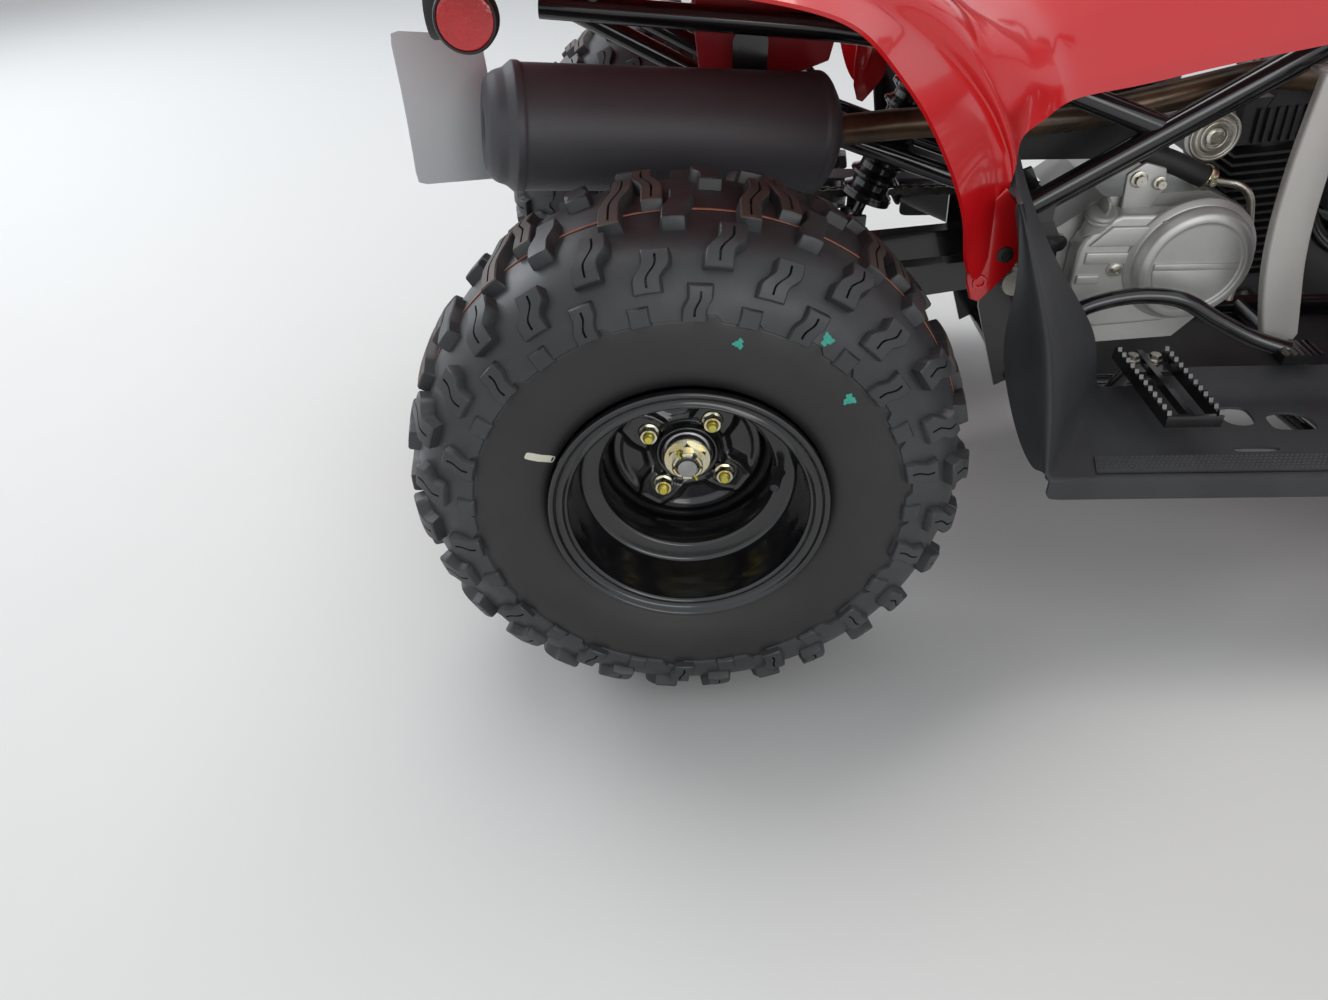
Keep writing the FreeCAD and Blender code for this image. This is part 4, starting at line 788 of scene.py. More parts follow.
def barrelForm(size, side):
    lip, half, well, edge = size["bead"] + 14.0, size["half"], size["well"] - 3.0, size["wellEdge"]
    bead = size["bead"] - 3.0
    face = [(lip, half + 0.5), (lip, half + 6.2), (lip - 2.2, half + 7.5), (lip - 4.6, half + 6.6),
            (lip - 6.4, half + 2.4), (lip - 10.5, half + 0.6), (lip - 13.2, half + 2.4), (bead + 2.6, half + 3.4),
            (bead + 0.4, half + 1.6), (bead - 1.4, half - 16), (bead - 3.2, half - 25), (bead - 6.3, edge + 1.5),
            (bead - 8.6, edge - 0.6), (well + 2.5, edge - 2.4), (well, edge - 6)]
    face = roundCorners(face, 1.6, 3)
    line = face + [(r, -u) for r, u in face[::-1]]
    back = [(size["well"], size["wellEdge"] - 8), (size["bead"] - 6, edge - 3), (size["bead"] - 5.5, edge),
            (size["bead"] - 2, half - 20), (size["bead"], half - 2)]
    line += [(r, -u) for r, u in back[::-1]] + back
    return lathe([(r, side * u) for r, u in line], barrelSegments, closed=True)


def discHeight(radius, degrees, look):
    turn = (degrees - look["firstLobe"] + 45.0) % 90.0 - 45.0
    a, b = radius * math.cos(math.radians(turn)), radius * math.sin(math.radians(turn))
    narrowed = look["lobeHalf"] - (look["lobeHalf"] - look["lobeTip"]) * smoothStep(44, look["lobeReach"], a)
    outside = max(abs(b) - narrowed, a - look["lobeReach"])
    raised = smoothStep(1.6, -1.8, outside)
    roll = look["edgeRoll"] * math.exp(-((outside + 2.4) / 1.5) ** 2)
    scoop = -look["scoop"] * smoothStep(1.0, 7.0, outside) * smoothStep(35, 41, radius) * smoothStep(61, 56, radius)
    height = look["lobeRise"] * raised * smoothStep(33, 37, radius) + roll * smoothStep(35, 39, radius) + scoop
    away = math.hypot(a - look["nutCircle"], b)
    height += 0.9 * math.exp(-((away - 10.6) / 1.1) ** 2) - 1.2 * smoothStep(9.5, 8.0, away)
    collar = look["collar"]
    height += (5.2 * smoothStep(collar + 2.2, collar - 1.0, radius)
               - 1.6 * smoothStep(collar - 1.5, collar - 5.5, radius))
    height -= 1.4 * math.exp(-((radius - collar - 3.6) / 1.3) ** 2)
    height -= 6.0 * smoothStep(65.0, 71.0, radius)
    return height


def discForm(size, side, look):
    rim = size["well"] - 2.2
    radii = [size["bore"], 22.6, 23.6, 25, 26.4, 27.6, 28.6, 29.6, 30.6, 31.6, 32.8, 34, 35.5, 37, 38.5, 40, 41.5,
             43, 44.5, 46, 47.5, 49, 50.5, 52, 53.5, 55, 56.5, 58, 59.5, 60.7, 61.7, 62.6, 63.4, 64.2, 65.2, 66.4,
             67.8, 69.4, 71.2]
    radii = [r for r in radii if r < rim - 0.5] + [rim]
    vertices = []
    count = look["turns"]
    for i in range(count):
        degrees = 360.0 * i / count
        line = [(r, size["disc"] + discHeight(r, degrees, look)) for r in radii]
        line += [(r, u - look["thickness"]) for r, u in line[::-1]]
        turn = math.radians(degrees)
        vertices += [(r * math.cos(turn), side * u, r * math.sin(turn)) for r, u in line]
    return vertices, gridFaces(count, 2 * len(radii), closedRows=True, closedColumns=True)


def ringsOf(rings, count, place):
    # closed rings round the Z axis; place(ring, degrees) gives the radius and the height there
    vertices = []
    for ring in rings:
        for i in range(count):
            degrees = 360.0 * i / count
            r, z = place(ring, degrees)
            vertices.append((r * math.cos(math.radians(degrees)), r * math.sin(math.radians(degrees)), z))
    return vertices, gridFaces(len(rings), count, closedRows=True, closedColumns=True)


def onFlats(radius, flats, degrees):
    return min(radius, flats / 2 / math.cos(math.radians((degrees + 30) % 60 - 30)))


cornerRatio = 1.1547   # a hexagon's corners to its flats


def hexNut(flats, height, bore, flange=0.0):
    # a nut round the Z axis with chamfered ends and, if asked, a flange; rings: radius, height, hexagonal
    corner = flats / 2 * cornerRatio
    rings = [(bore, 0.0, False), (corner, 0.0, True), (corner, height - corner * 0.14, True),
             (corner * 0.9, height, True), (bore + 0.8, height, False), (bore, height - 0.8, False)]
    if flange:
        rings[1:2] = [(flange, 0.0, False), (flange, 1.2, False), (corner * 0.98, 2.2, True)]
    return ringsOf(rings, 36, lambda ring, degrees: (onFlats(ring[0], flats, degrees) if ring[2] else ring[0], ring[1]))


def solidTurned(profile, segments=32):
    # points (radius, height) turned about the Z axis, closed at both ends on the axis
    vertices, faces = turnedAlong(profile, segments)
    first, last = len(vertices), len(vertices) + 1
    vertices = list(vertices) + [(0, 0, profile[0][1]), (0, 0, profile[-1][1])]
    count = len(profile)
    for i in range(segments):
        j = (i + 1) % segments
        faces.append([j * count, i * count, first])
        faces.append([i * count + count - 1, j * count + count - 1, last])
    return vertices, faces


def castleNutForm(flats, height, crown, bore):
    # rings: radius, height, kind (0 round, 1 hexagonal, 2 cut by the slots)
    corner, low, slots = flats / 2 * cornerRatio, height - crown, 6
    pitch = 360.0 / slots
    rings = [(bore, 0, 0), (corner, 0, 1), (corner, low - 2.2, 1), (corner * 0.93, low, 1), (flats * 0.43, low, 0),
             (flats * 0.43, height - 0.8, 2), (flats * 0.40, height, 2), (bore + 0.8, height, 2),
             (bore, height - 0.8, 2)]

    def place(ring, degrees):
        radius, z, kind = ring
        if kind == 2 and abs((degrees + 180.0 / slots) % pitch - 180.0 / slots) < 9:
            z = min(z, low + 0.6)
        return onFlats(radius, flats, degrees) if kind == 1 else radius, z

    return ringsOf(rings, 72, place)


def addValve(valves, size, side, centre, degrees):
    radius, turn = size["well"] + 1.5, math.radians(degrees)
    start = Vector(centre) + Vector((radius * math.cos(turn), side * (size["wellEdge"] - 6), radius * math.sin(turn)))
    place = facing(start, (-0.25 * math.cos(turn), side, -0.25 * math.sin(turn)))
    valves.add(*solidTurned([(7.0, 0), (7.0, 2), (5.2, 4), (4.4, 9), (4.0, 17), (3.6, 18)], 24), place=place)
    valves.add(*solidTurned([(3.4, 18), (4.2, 18.4), (4.2, 25), (3.6, 26.4), (2.0, 26.8)], 24), slot=1, place=place)


def addWheelNuts(nuts, centre, side, first, level):
    # one nut on its stud, copied round the wheel
    radius, reach = nutShape["studRadius"], nutShape["studReach"]
    nut = hexNut(nutShape["acrossFlats"], nutShape["height"], 4.6, flange=9.0)
    stud = solidTurned([(radius, 0), (radius, reach - 1), (radius - 1, reach)], 24)
    start = facing((discShape["nutCircle"], side * level, 0), (0, side, 0))
    for slot, (form, faces) in enumerate((nut, stud)):
        copies = ringMesh([start @ Vector(v) for v in form], faces, 4, first, "zincGold")
        nuts.add(*copies, slot, Matrix.Translation(centre))


def makeRims():
    # the lobes on the left are the mirror of those on the right
    middle = middleOf("rear_rims")
    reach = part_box("rear_rims")[1].y / mm - rimTable["rear"]["half"] - 7.5
    rear = [(Vector((middle.x, side * reach, middle.z)), side) for side, _ in sides]
    rows = [("rear", "rearRims", "rearWheelNuts", "rearValves", "rear_rims", "rear_axle", rear)]
    for side, name in sides:
        node = "front_rim_" + name.lower()
        rows.append(("front", "frontRim" + name, "frontWheelNuts" + name, "frontValve" + name, node,
                     "front_wheel_" + name.lower(), [(middleOf(node), side)]))
    for kind, rimName, nutName, valveName, node, body, places in rows:
        size, (firstLobe, valveAt) = rimTable[kind], wheelTurns[kind]
        rims, nuts, valves = Shape(), Shape(), Shape()
        for centre, side in places:
            place = Matrix.Translation(centre)
            rims.add(*barrelForm(size, side), place=place)
            rims.add(*discForm(size, side, dict(discShape, firstLobe=firstLobe)), place=place)
            addWheelNuts(nuts, centre, side, firstLobe, size["disc"] + 2.4)
            addValve(valves, size, side, centre, valveAt)
        piece = rims.piece(rimName, "rimPaint", body, "rim_paint", sharp=60)
        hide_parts(node)
        nuts.piece(nutName, "zincGold", body, "zinc", parts=["zincYellow"], sharp=30)
        valves.piece(valveName, "rubber", body, "rubber", parts=["blackPlastic"])


makeRims()
print("rims made")


# Rear axle, castle nuts and the nuts of the front spindles
axleShape = {"nutFlats": 32.0, "nutHeight": 12.0, "washer": 21.0, "threadFrom": 17.2}


def makeAxle():
    middle = middleOf("rear_axle")
    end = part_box("rear_axle")[1].y / mm
    half = [(12.6, 0), (12.6, end - 96), (13.0, end - 95), (22, end - 94), (24, end - 92), (24, end - 46),
            (30, end - 42), (52, end - 40.6), (54, end - 39), (54, end - 33.4), (52.6, end - 32.3),
            (21.5, end - 32.3), (21.5, end - 27), (19, end - 26), (19, end - 17.5), (9.6, end - 17.4)]
    threadFrom = end - axleShape["threadFrom"]
    half += [(9.9 - 0.5 * (k % 2), threadFrom + k * 0.62) for k in range(25)] + [(8.4, end), (0.05, end)]
    profile = [(r, -y) for r, y in half[::-1][:-1]] + half
    shape = Shape().add(*lathe(profile, 64), place=Matrix.Translation((middle.x, 0, middle.z)))
    piece = shape.piece("rearAxle", "steelBare", "rear_axle", "steel", sharp=30)
    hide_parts("rear_axle")
    nuts, washer = Shape(), axleShape["washer"]
    for side, _ in sides:
        start = facing((middle.x, side * threadFrom, middle.z), (0, side, 0))
        nuts.add(*solidTurned([(washer - 0.6, 0), (washer, 0.6), (washer, 2.2), (washer - 0.8, 2.9), (11, 2.9)], 48),
                 place=start)
        nuts.add(*castleNutForm(axleShape["nutFlats"], axleShape["nutHeight"], 6.0, 10.4),
                 place=start @ Matrix.Translation((0, 0, 2.6)))
        pin = [(-17, 2, 12.4), (-12, 1, 12.4), (0, 0, 12.4), (12, 0, 12.4), (15.5, -1.5, 12.6), (17.4, -5, 13.4)]
        nuts.add(*tubeAlong(smoothLine(pin, 5), 1.5, 10), slot=1, place=start @ Matrix.Rotation(2.2, 4, "Z"))
    nuts.piece("rearAxleNuts", "zincGold", "rear_axle", "zinc", parts=["zincYellow"], sharp=30)
    for side, name in sides:
        knuckle = "knuckle_" + name.lower()
        hub = middleOf("front_hub_" + name.lower())
        low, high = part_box(knuckle)
        reach = max(abs(low.y), abs(high.y)) / mm
        start = facing((hub.x, side * (reach - 13.5), hub.z), (0, side, 0))
        nut = Shape()
        nut.add(*solidTurned([(16, 0), (16.6, 0.6), (16.6, 2.0), (10.2, 2.4)], 40), place=start)
        nut.add(*castleNutForm(24.0, 10.5, 4.6, 10.1), place=start @ Matrix.Translation((0, 0, 2.2)))
        nut.piece("spindleNut" + name, "zincGold", knuckle, "zinc", sharp=30)


makeAxle()
print("axle and nuts made")


# Marks on the rear right wheel: paint dots, a blank label and the coloured line of the tread
markTable = (   # name, material, place on the wheel before it is laid on the tyre, size, kind
    ("dotTop", "paintGreen", (-486, -441, 399), 5.0, "blot"),
    ("dotRight", "paintGreen", (-420, -441, 401), 6.0, "blot"),
    ("dotLow", "paintGreen", (-402, -441, 351), 6.0, "blot"),
    ("sideLabel", "labelCream", (-634, -444, 296), 8.5, "label"),
)
treadLine = {"from": 27.0, "width": 1.3, "lift": 0.5, "radius": 230.6}


def makeMarks():
    tyres = bpy.data.objects["rearTyres"]
    tree = BVHTree.FromObject(tyres, bpy.context.evaluated_depsgraph_get())
    centre = middleOf("rear_tyres")
    for name, material, place, size, kind in markTable:
        where, normal, _, _ = tree.find_nearest(Vector(place) * mm)
        outward = Vector((place[0] - centre.x, 0, place[2] - centre.z))
        turn = facing(where / mm, normal, outward)
        vertices = [(0, 0, 0.5)]
        for k in range(24):
            angle = 2 * math.pi * k / 24
            if kind == "blot":
                reach = size * (0.72 + 0.2 * math.sin(3 * angle + place[0]) + 0.12 * math.sin(7 * angle + place[2]))
                vertices.append((reach * math.cos(angle), reach * math.sin(angle), 0.0))
            else:
                c, s = math.cos(angle), math.sin(angle)
                pull = (abs(c) ** 8 + abs(s) ** 8) ** -0.125
                vertices.append((size * 0.42 * c * pull, size * 1.5 * s * pull, 0.0))
        laid = []
        for x, y, z in vertices:
            spot = tree.find_nearest((turn @ Vector((x, y, 0))) * mm)
            laid.append(spot[0] / mm + spot[1] * (0.35 if z else 0.25))
        faces = [[0, 1 + k, 1 + (k + 1) % 24] for k in range(24)]
        Shape().add(laid, faces).piece(name, material, "rear_axle", None, sharp=60)
    shape = Shape()
    low, high, width = treadLine["radius"] - 0.1, treadLine["radius"] + treadLine["lift"], treadLine["width"]
    for side, _ in sides:
        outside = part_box("rear_tyres")[1].y / mm - tyreProfiles["reach"][0]
        y = side * (outside + treadLine["from"])
        profile = [(low, y - width), (high, y - width * 0.8), (high, y + width * 0.8), (low, y + width)]
        shape.add(*lathe(profile, 180), place=Matrix.Translation((centre.x, 0, centre.z)))
    shape.piece("treadLine", "paintOrange", "rear_axle", None, sharp=60)


makeMarks()
print("marks made")


# Rear fender: cages of points that subdivision smooths, then given their thickness
fenderShape = {"thickness": 3.0, "levels": 3, "beadCrease": 0.85, "valleyCrease": 0.2, "facetCrease": 0.5,
               "lowerCrease": 0.5}
deckCage = [   # x, then (y, z) from the middle line to the lip
    (-706, ((0, 607), (60, 607), (108, 608), (150, 614), (196, 624), (228, 631), (256, 635), (280, 636), (300, 634),
            (316, 628), (327, 620), (331, 611))),
    (-690, ((0, 606), (60, 606), (108, 607), (150, 614), (196, 625), (232, 634), (262, 640), (290, 641), (312, 638),
            (330, 631), (342, 624), (347, 614))),
    (-620, ((0, 602), (60, 602), (108, 603), (150, 611), (196, 627), (236, 639), (268, 647), (298, 651), (324, 651),
            (356, 644), (374, 634), (389, 620))),
    (-520, ((0, 598), (60, 598), (108, 599), (150, 610), (196, 629), (238, 642), (272, 650), (302, 654), (330, 654),
            (362, 647), (382, 636), (399, 622))),
    (-430, ((0, 592), (60, 592), (108, 593), (146, 603), (192, 621), (230, 630), (262, 634), (294, 638), (322, 639),
            (350, 631), (370, 617), (394, 606))),
]
wingCage = [   # (x, y, z): beside the seat, flank, valley, inner side of the bead, bead, crease and lip
    ((-392, 108, 590), (-392, 144, 601), (-392, 190, 614), (-390, 228, 620), (-388, 262, 620), (-388, 294, 625),
     (-388, 324, 628), (-390, 350, 620), (-395, 356, 600), (-402, 383, 587)),
    ((-364, 112, 590), (-364, 146, 600), (-362, 186, 609), (-359, 226, 608), (-358, 264, 602), (-356, 298, 606),
     (-356, 326, 608), (-360, 348, 598), (-362, 341, 581), (-378, 371, 560)),
    ((-340, 118, 591), (-340, 147, 598), (-338, 182, 603), (-334, 220, 598), (-332, 262, 587), (-330, 298, 593),
     (-332, 322, 594), (-338, 341, 580), (-338, 329, 563), (-355, 362, 534)),
    ((-314, 124, 592), (-314, 150, 596), (-312, 178, 598), (-308, 212, 589), (-305, 252, 571), (-305, 286, 574),
     (-309, 313, 568), (-313, 331, 552), (-311, 316, 538), (-326, 351, 487)),
    ((-290, 127, 593), (-290, 151, 596), (-288, 176, 594), (-284, 204, 583), (-280, 236, 567), (-286, 276, 558),
     (-291, 304, 541), (-292, 318, 524), (-289, 304, 513), (-306, 340, 444)),
    ((-270, 128, 595), (-270, 151, 596), (-266, 174, 590), (-261, 196, 578), (-256, 218, 566), (-262, 264, 536),
     (-273, 296, 510), (-273, 307, 492), (-270, 295, 482), (-300, 325, 408)),
    ((-254, 128, 597), (-254, 151, 596), (-250, 172, 588), (-244, 192, 574), (-236, 208, 560), (-243, 251, 528),
     (-262, 282, 495), (-264, 298, 476), (-264, 292, 462), (-277, 307, 368)),
]
flankCage = [   # the panel beside the seat, from its top to its lower edge
    ((-236, 128, 598), (-236, 151, 596), (-232, 172, 587), (-227, 188, 573), (-222, 203, 556), (-225, 238, 520),
     (-236, 262, 498)),
    ((-206, 128, 601), (-206, 150, 596), (-204, 170, 586), (-203, 185, 572), (-203, 200, 552), (-207, 222, 517),
     (-209, 227, 507)),
    ((-154, 128, 605), (-154, 150, 598), (-154, 167, 586), (-154, 179, 571), (-154, 190, 552), (-154, 210, 520),
     (-154, 214, 509)),
    ((-96, 127, 608), (-96, 148, 600), (-96, 163, 587), (-96, 173, 574), (-96, 182, 556), (-96, 197, 528),
     (-96, 200, 518)),
    ((-32, 122, 616), (-32, 144, 607), (-32, 159, 593), (-32, 168, 580), (-32, 176, 564), (-32, 187, 538),
     (-32, 190, 527)),
    ((40, 114, 634), (40, 138, 620), (40, 153, 605), (40, 161, 592), (40, 168, 576), (40, 178, 548), (40, 181, 536)),
    ((110, 108, 650), (110, 130, 634), (110, 145, 619), (110, 152, 606), (110, 158, 592), (110, 166, 564),
     (110, 168, 552)),
    ((180, 104, 668), (180, 124, 648), (180, 137, 633), (180, 143, 620), (180, 148, 606), (180, 154, 582),
     (180, 156, 570)),
]


class Cage:
    # a control cage of rows of points, with creases along chosen lines

    def __init__(self):
        self.vertices = []
        self.faces = []
        self.creases = []

    def row(self, points):
        start = len(self.vertices)
        self.vertices.extend(points)
        return list(range(start, start + len(points)))

    def strip(self, first, second, creases=None):
        for i in range(min(len(first), len(second)) - 1):
            self.faces.append([first[i], first[i + 1], second[i + 1], second[i]])
        for column, strength in (creases or {}).items():
            if column < len(first) and column < len(second):
                self.creases.append((first[column], second[column], strength))

    def piece(self, name, material, body, slot, thickness, levels, sharp=38):
        made = meshObject(name, [Vector(v) * mm for v in self.vertices], self.faces)
        work = bmesh.new()
        work.from_mesh(made.data)
        work.verts.ensure_lookup_table()
        layer = work.edges.layers.float.new("crease_edge")
        for a, b, strength in self.creases:
            edge = work.edges.get((work.verts[a], work.verts[b]))
            if edge:
                edge[layer] = strength
        bmesh.ops.remove_doubles(work, verts=work.verts, dist=0.0003)
        bmesh.ops.recalc_face_normals(work, faces=work.faces)
        if sum(f.normal.z * f.calc_area() for f in work.faces) < 0:
            bmesh.ops.reverse_faces(work, faces=work.faces)
        work.to_mesh(made.data)
        work.free()
        made.data.materials.append(materials[material])
        subdivided(made, levels)
        shell = made.modifiers.new("shell", "SOLIDIFY")
        shell.thickness = thickness * mm
        shell.offset = -1.0
        finishMesh(applied(made).data, sharp)
        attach(made, body)
        return made


def makeRearFender():
    cage = Cage()
    look = fenderShape
    rows = []
    for x, half in deckCage:
        rows.append([cage.row([(x, side * y, z) for y, z in half]) for side in (1, -1)])
    for above, below in zip(rows, rows[1:]):
        for k in (0, 1):
            cage.strip(above[k], below[k], {10: look["beadCrease"] * 0.6})
    for k, side in ((0, 1), (1, -1)):
        above = rows[-1][k][2:]
        for count, points in enumerate(wingCage):
            here = cage.row([(x, side * y, z) for x, y, z in points])
            lines = {8: look["beadCrease"]}
            if 1 < count < 5:
                lines[4] = look["valleyCrease"]
            if count >= 5:
                lines[5] = look["facetCrease"]
            cage.strip(above, here, lines)
            above = here
        above = above[:7]
        for count, points in enumerate(flankCage):
            here = cage.row([(x, side * y, z) for x, y, z in points])
            cage.strip(above, here, {5: look["facetCrease"] if count < 2 else look["lowerCrease"]})
            above = here
    piece = cage.piece("rearFender", "fenderRed", "root", "red_plastic", look["thickness"], look["levels"])
    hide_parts("rear_fender")


makeRearFender()
print("rear fender made")


# Mounting tab under the front corner of each wing, with a rubber plug and a raised ring
tabShape = {"thickness": 3.0, "side": 303.0, "plug": 5.2, "ring": 5.0}
tabOutline = ((-270, 460), (-258, 446), (-251, 426), (-247, 404), (-252, 392), (-264, 376), (-275, 363), (-283, 366),
              (-289, 384), (-291, 410), (-290, 436))


def makeTabs():
    look = tabShape
    plug, ring = look["plug"], look["ring"]
    for side, name in sides:
        tab = Shape().slab(tabOutline, look["thickness"],
                           lambda x, z, d: (x, side * (look["side"] - look["thickness"] + d), z))
        softened(tab.piece("wingTab" + name, "fenderRed", "root", "red_plastic", sharp=30), 1.2)
        place = facing((-261, side * look["side"], 405), (0, side, 0))
        line = [(plug, -2), (plug + 1.6, 0), (plug + 1.4, 1.4), (3.4, 2.2), (2.6, 0.8)]
        Shape().add(*solidTurned(line, 32), place=place).piece("wingPlug" + name, "rubber", "root", "rubber", sharp=40)
        place = facing((-277, side * look["side"], 381), (0, side, 0))
        line = roundCorners([(ring - 1.8, -1), (ring - 1.6, 1.6), (ring + 1.2, 1.6), (ring + 1.6, -1)], 0.6, 2)
        made = Shape().add(*turnedAlong(line, 32), place=place)
        made.piece("wingRing" + name, "fenderRed", "root", "red_plastic", sharp=40)


def makeInnerPanel():
    # a red panel on each side of the rear shock, behind the beams, in a darker red that is painted shade
    outline = [(-512, 548), (-506, 500), (-486, 488), (-420, 492), (-384, 505), (-374, 548), (-380, 575), (-505, 578)]
    for side, name in sides:
        panel = Shape().slab(outline, 3.0, lambda x, z, d: (x, side * (82 + d), z))
        softened(panel.piece("innerPanel" + name, "fenderUnderRed", "root", "red_plastic", sharp=30), 1.2)


makeTabs()
makeInnerPanel()
print("tabs and inner panels made")


# Front fender, tank cover, grille and the grips
frontRows = (   # x, then (y, z) from the middle line to the lip
    (346, ((0, 704), (40, 700), (84, 678), (100, 667), (140, 664), (190, 660), (284, 646), (340, 630), (374, 615),
           (404, 595), (419, 577))),
    (430, ((0, 708), (44, 702), (86, 679), (98, 674), (140, 673), (190, 671), (286, 659), (342, 643), (377, 627),
           (408, 607), (422, 589))),
    (500, ((0, 703), (44, 697), (86, 674), (97, 670), (140, 669), (190, 667), (284, 655), (340, 638), (374, 621),
           (404, 601), (418, 583))),
    (560, ((0, 691), (44, 685), (84, 665), (94, 661), (138, 659), (186, 657), (280, 643), (334, 626), (367, 609),
           (396, 588), (409, 571))),
    (620, ((0, 662), (42, 656), (82, 641), (92, 637), (134, 635), (182, 632), (272, 619), (322, 602), (353, 586),
           (381, 565), (394, 549))),
    (674, ((0, 621), (40, 617), (80, 607), (90, 603), (132, 602), (176, 599), (262, 587), (310, 572), (340, 557),
           (366, 537), (377, 524))),
)
backRows = (   # behind the wing, from the inner edge out
    (232, ((122, 604), (160, 597), (200, 588), (290, 562), (336, 543), (366, 524), (392, 500), (403, 480))),
    (270, ((114, 632), (152, 627), (196, 619), (286, 600), (336, 582), (367, 566), (396, 546), (409, 528))),
    (306, ((106, 654), (146, 652), (190, 648), (282, 634), (338, 618), (370, 603), (400, 585), (415, 566))),
)
tankRows = ((43, 77, 631, 696), (70, 84, 629, 710), (110, 91, 627, 725), (150, 92, 632, 731), (190, 90, 640, 731),
            (226, 81, 653, 725), (248, 71, 664, 715))


def makeFrontFender():
    cage = Cage()
    rows = []
    for x, half in frontRows:
        right = [(x, -y, z) for y, z in half[::-1]]
        rows.append(cage.row(right + [(x, y, z) for y, z in half[1:]]))
    last = len(frontRows[0][1]) - 1
    creases = {last - 3: 0.55, last + 3: 0.55, last - 2: 0.3, last + 2: 0.3, 1: 0.4, 2 * last - 1: 0.4}
    for first, second in zip(rows, rows[1:]):
        cage.strip(first, second, creases)
    for side, _ in sides:
        behind = [cage.row([(x, side * y, z) for y, z in half]) for x, half in backRows]
        behind.append(rows[0][last + 3:] if side > 0 else rows[0][:last - 2][::-1])
        for first, second in zip(behind, behind[1:]):
            cage.strip(first, second, {6: 0.4})
    piece = cage.piece("frontFender", "fenderRed", "root", "red_plastic", 3.0, 3)
    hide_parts("front_fender")
    posts = Shape()
    for side, _ in sides:
        posts.add(*tubeAlong([(475, side * 110, 560), (475, side * 110, 668)], 6, 16))
    posts.piece("fenderPosts", "framePaint", "root", "frame_paint", sharp=40)


def makeTank():
    vertices = []
    for x, half, low, high in tankRows:
        right = [(0, low), (half * 0.72, low), (half - 2, low + 3), (half, low + 14), (half, high - 40),
                 (half - 6, high - 22), (half - 28, high - 7), (half * 0.32, high - 1), (0, high)]
        vertices += [(x, y, z) for y, z in right + [(-y, z) for y, z in right[-2:0:-1]]]
    rows, count = len(tankRows), len(vertices) // len(tankRows)
    shape = Shape().add(vertices, gridFaces(rows, count, closedColumns=True) + endFaces(rows, count))
    for side, _ in sides:
        foot = [(120, 540), (140, 540), (140, 640), (120, 640)]
        shape.slab(foot, 12, lambda x, z, d: (x, side * 78 - 6 + d, z))
    tank = shape.piece("tankCover", "fenderRed", "root", "red_plastic", sharp=40)
    softened(tank, 3.0, levels=2)
    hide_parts("tank_cover")
    foot, ribs = Vector((150, 0, 724)), []
    for k in range(60):
        radius = 27.0 if k % 2 else 28.0
        ribs.append((radius * math.cos(math.pi * k / 30), radius * math.sin(math.pi * k / 30)))
    cap = Shape().slab(ribs, 15, lambda x, y, d: (foot.x + x, y, foot.z + d))
    line = roundCorners([(26.6, 14.6), (25.0, 18.5), (17, 20.5), (16, 18.6), (0.05, 18.6)], 0.8, 3)
    cap.add(*turnedAlong(line, 60), place=Matrix.Translation(foot))
    cap.piece("tankCap", "blackPlastic", "root", "black_plastic", sharp=32)


def makeGrille():
    shape = Shape()
    outer = [(-120, 430), (120, 430), (120, 603), (-120, 603)]
    inner = [(-96, 470), (96, 470), (96, 560), (-96, 560)]
    faces = []
    for k in range(4):
        n = (k + 1) % 4
        faces += [[k, n, 4 + n, 4 + k], [8 + k, 12 + k, 12 + n, 8 + n], [k, 8 + k, 8 + n, n],
                  [4 + k, 4 + n, 12 + n, 12 + k]]
    shape.add([(x, y, z) for x in (652, 664) for y, z in outer + inner], faces)
    for z in (486, 512, 538):
        bar = [(653, z), (663, z + 1.5), (663, z + 6.5), (653, z + 8)]
        shape.slab(bar, 193, lambda x, height, d: (x, d - 96.5, height))
    piece = softened(shape.piece("frontGrille", "blackPlastic", "root", "black_plastic", sharp=30), 1.6, 3)
    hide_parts("front_grille")


def makeGrips():
    shape = Shape()
    for side, _ in sides:
        a, b = Vector((201, side * 340, 900)), Vector((259, side * 150, 886))
        along = (b - a).normalized()
        line = [(0.05, 0), (11, 0), (15, 1.5), (16, 5)]
        for k in range(22):
            start = 9 + k * 4.4
            line += [(16, start), (16, start + 2.6), (15.1, start + 3.2), (15.1, start + 3.9)]
        line += [(16, 107), (17.5, 108.5), (21, 110.5), (21, 114.5), (19.5, 116), (11.2, 116)]
        shape.add(*turnedAlong(line, 56), place=facing(a - along * 4, along))
    body = frame["nodes"]["grips"]["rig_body"]
    piece = shape.piece("barGrips", "rubber", body, "rubber", sharp=50)
    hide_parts("grips")


makeFrontFender()
makeTank()
makeGrille()
makeGrips()
print("front body made")


# Muffler: a rolled can with seams and a domed cap at each end
mufflerShape = {"rear": (-672.0, -196.0, 482.0), "front": (-360.0, -122.0, 449.0), "radius": 52.0, "seam": 1.6,
                "outlet": 14.0, "overhang": 22.0, "strap": (-460.0, -112.0)}


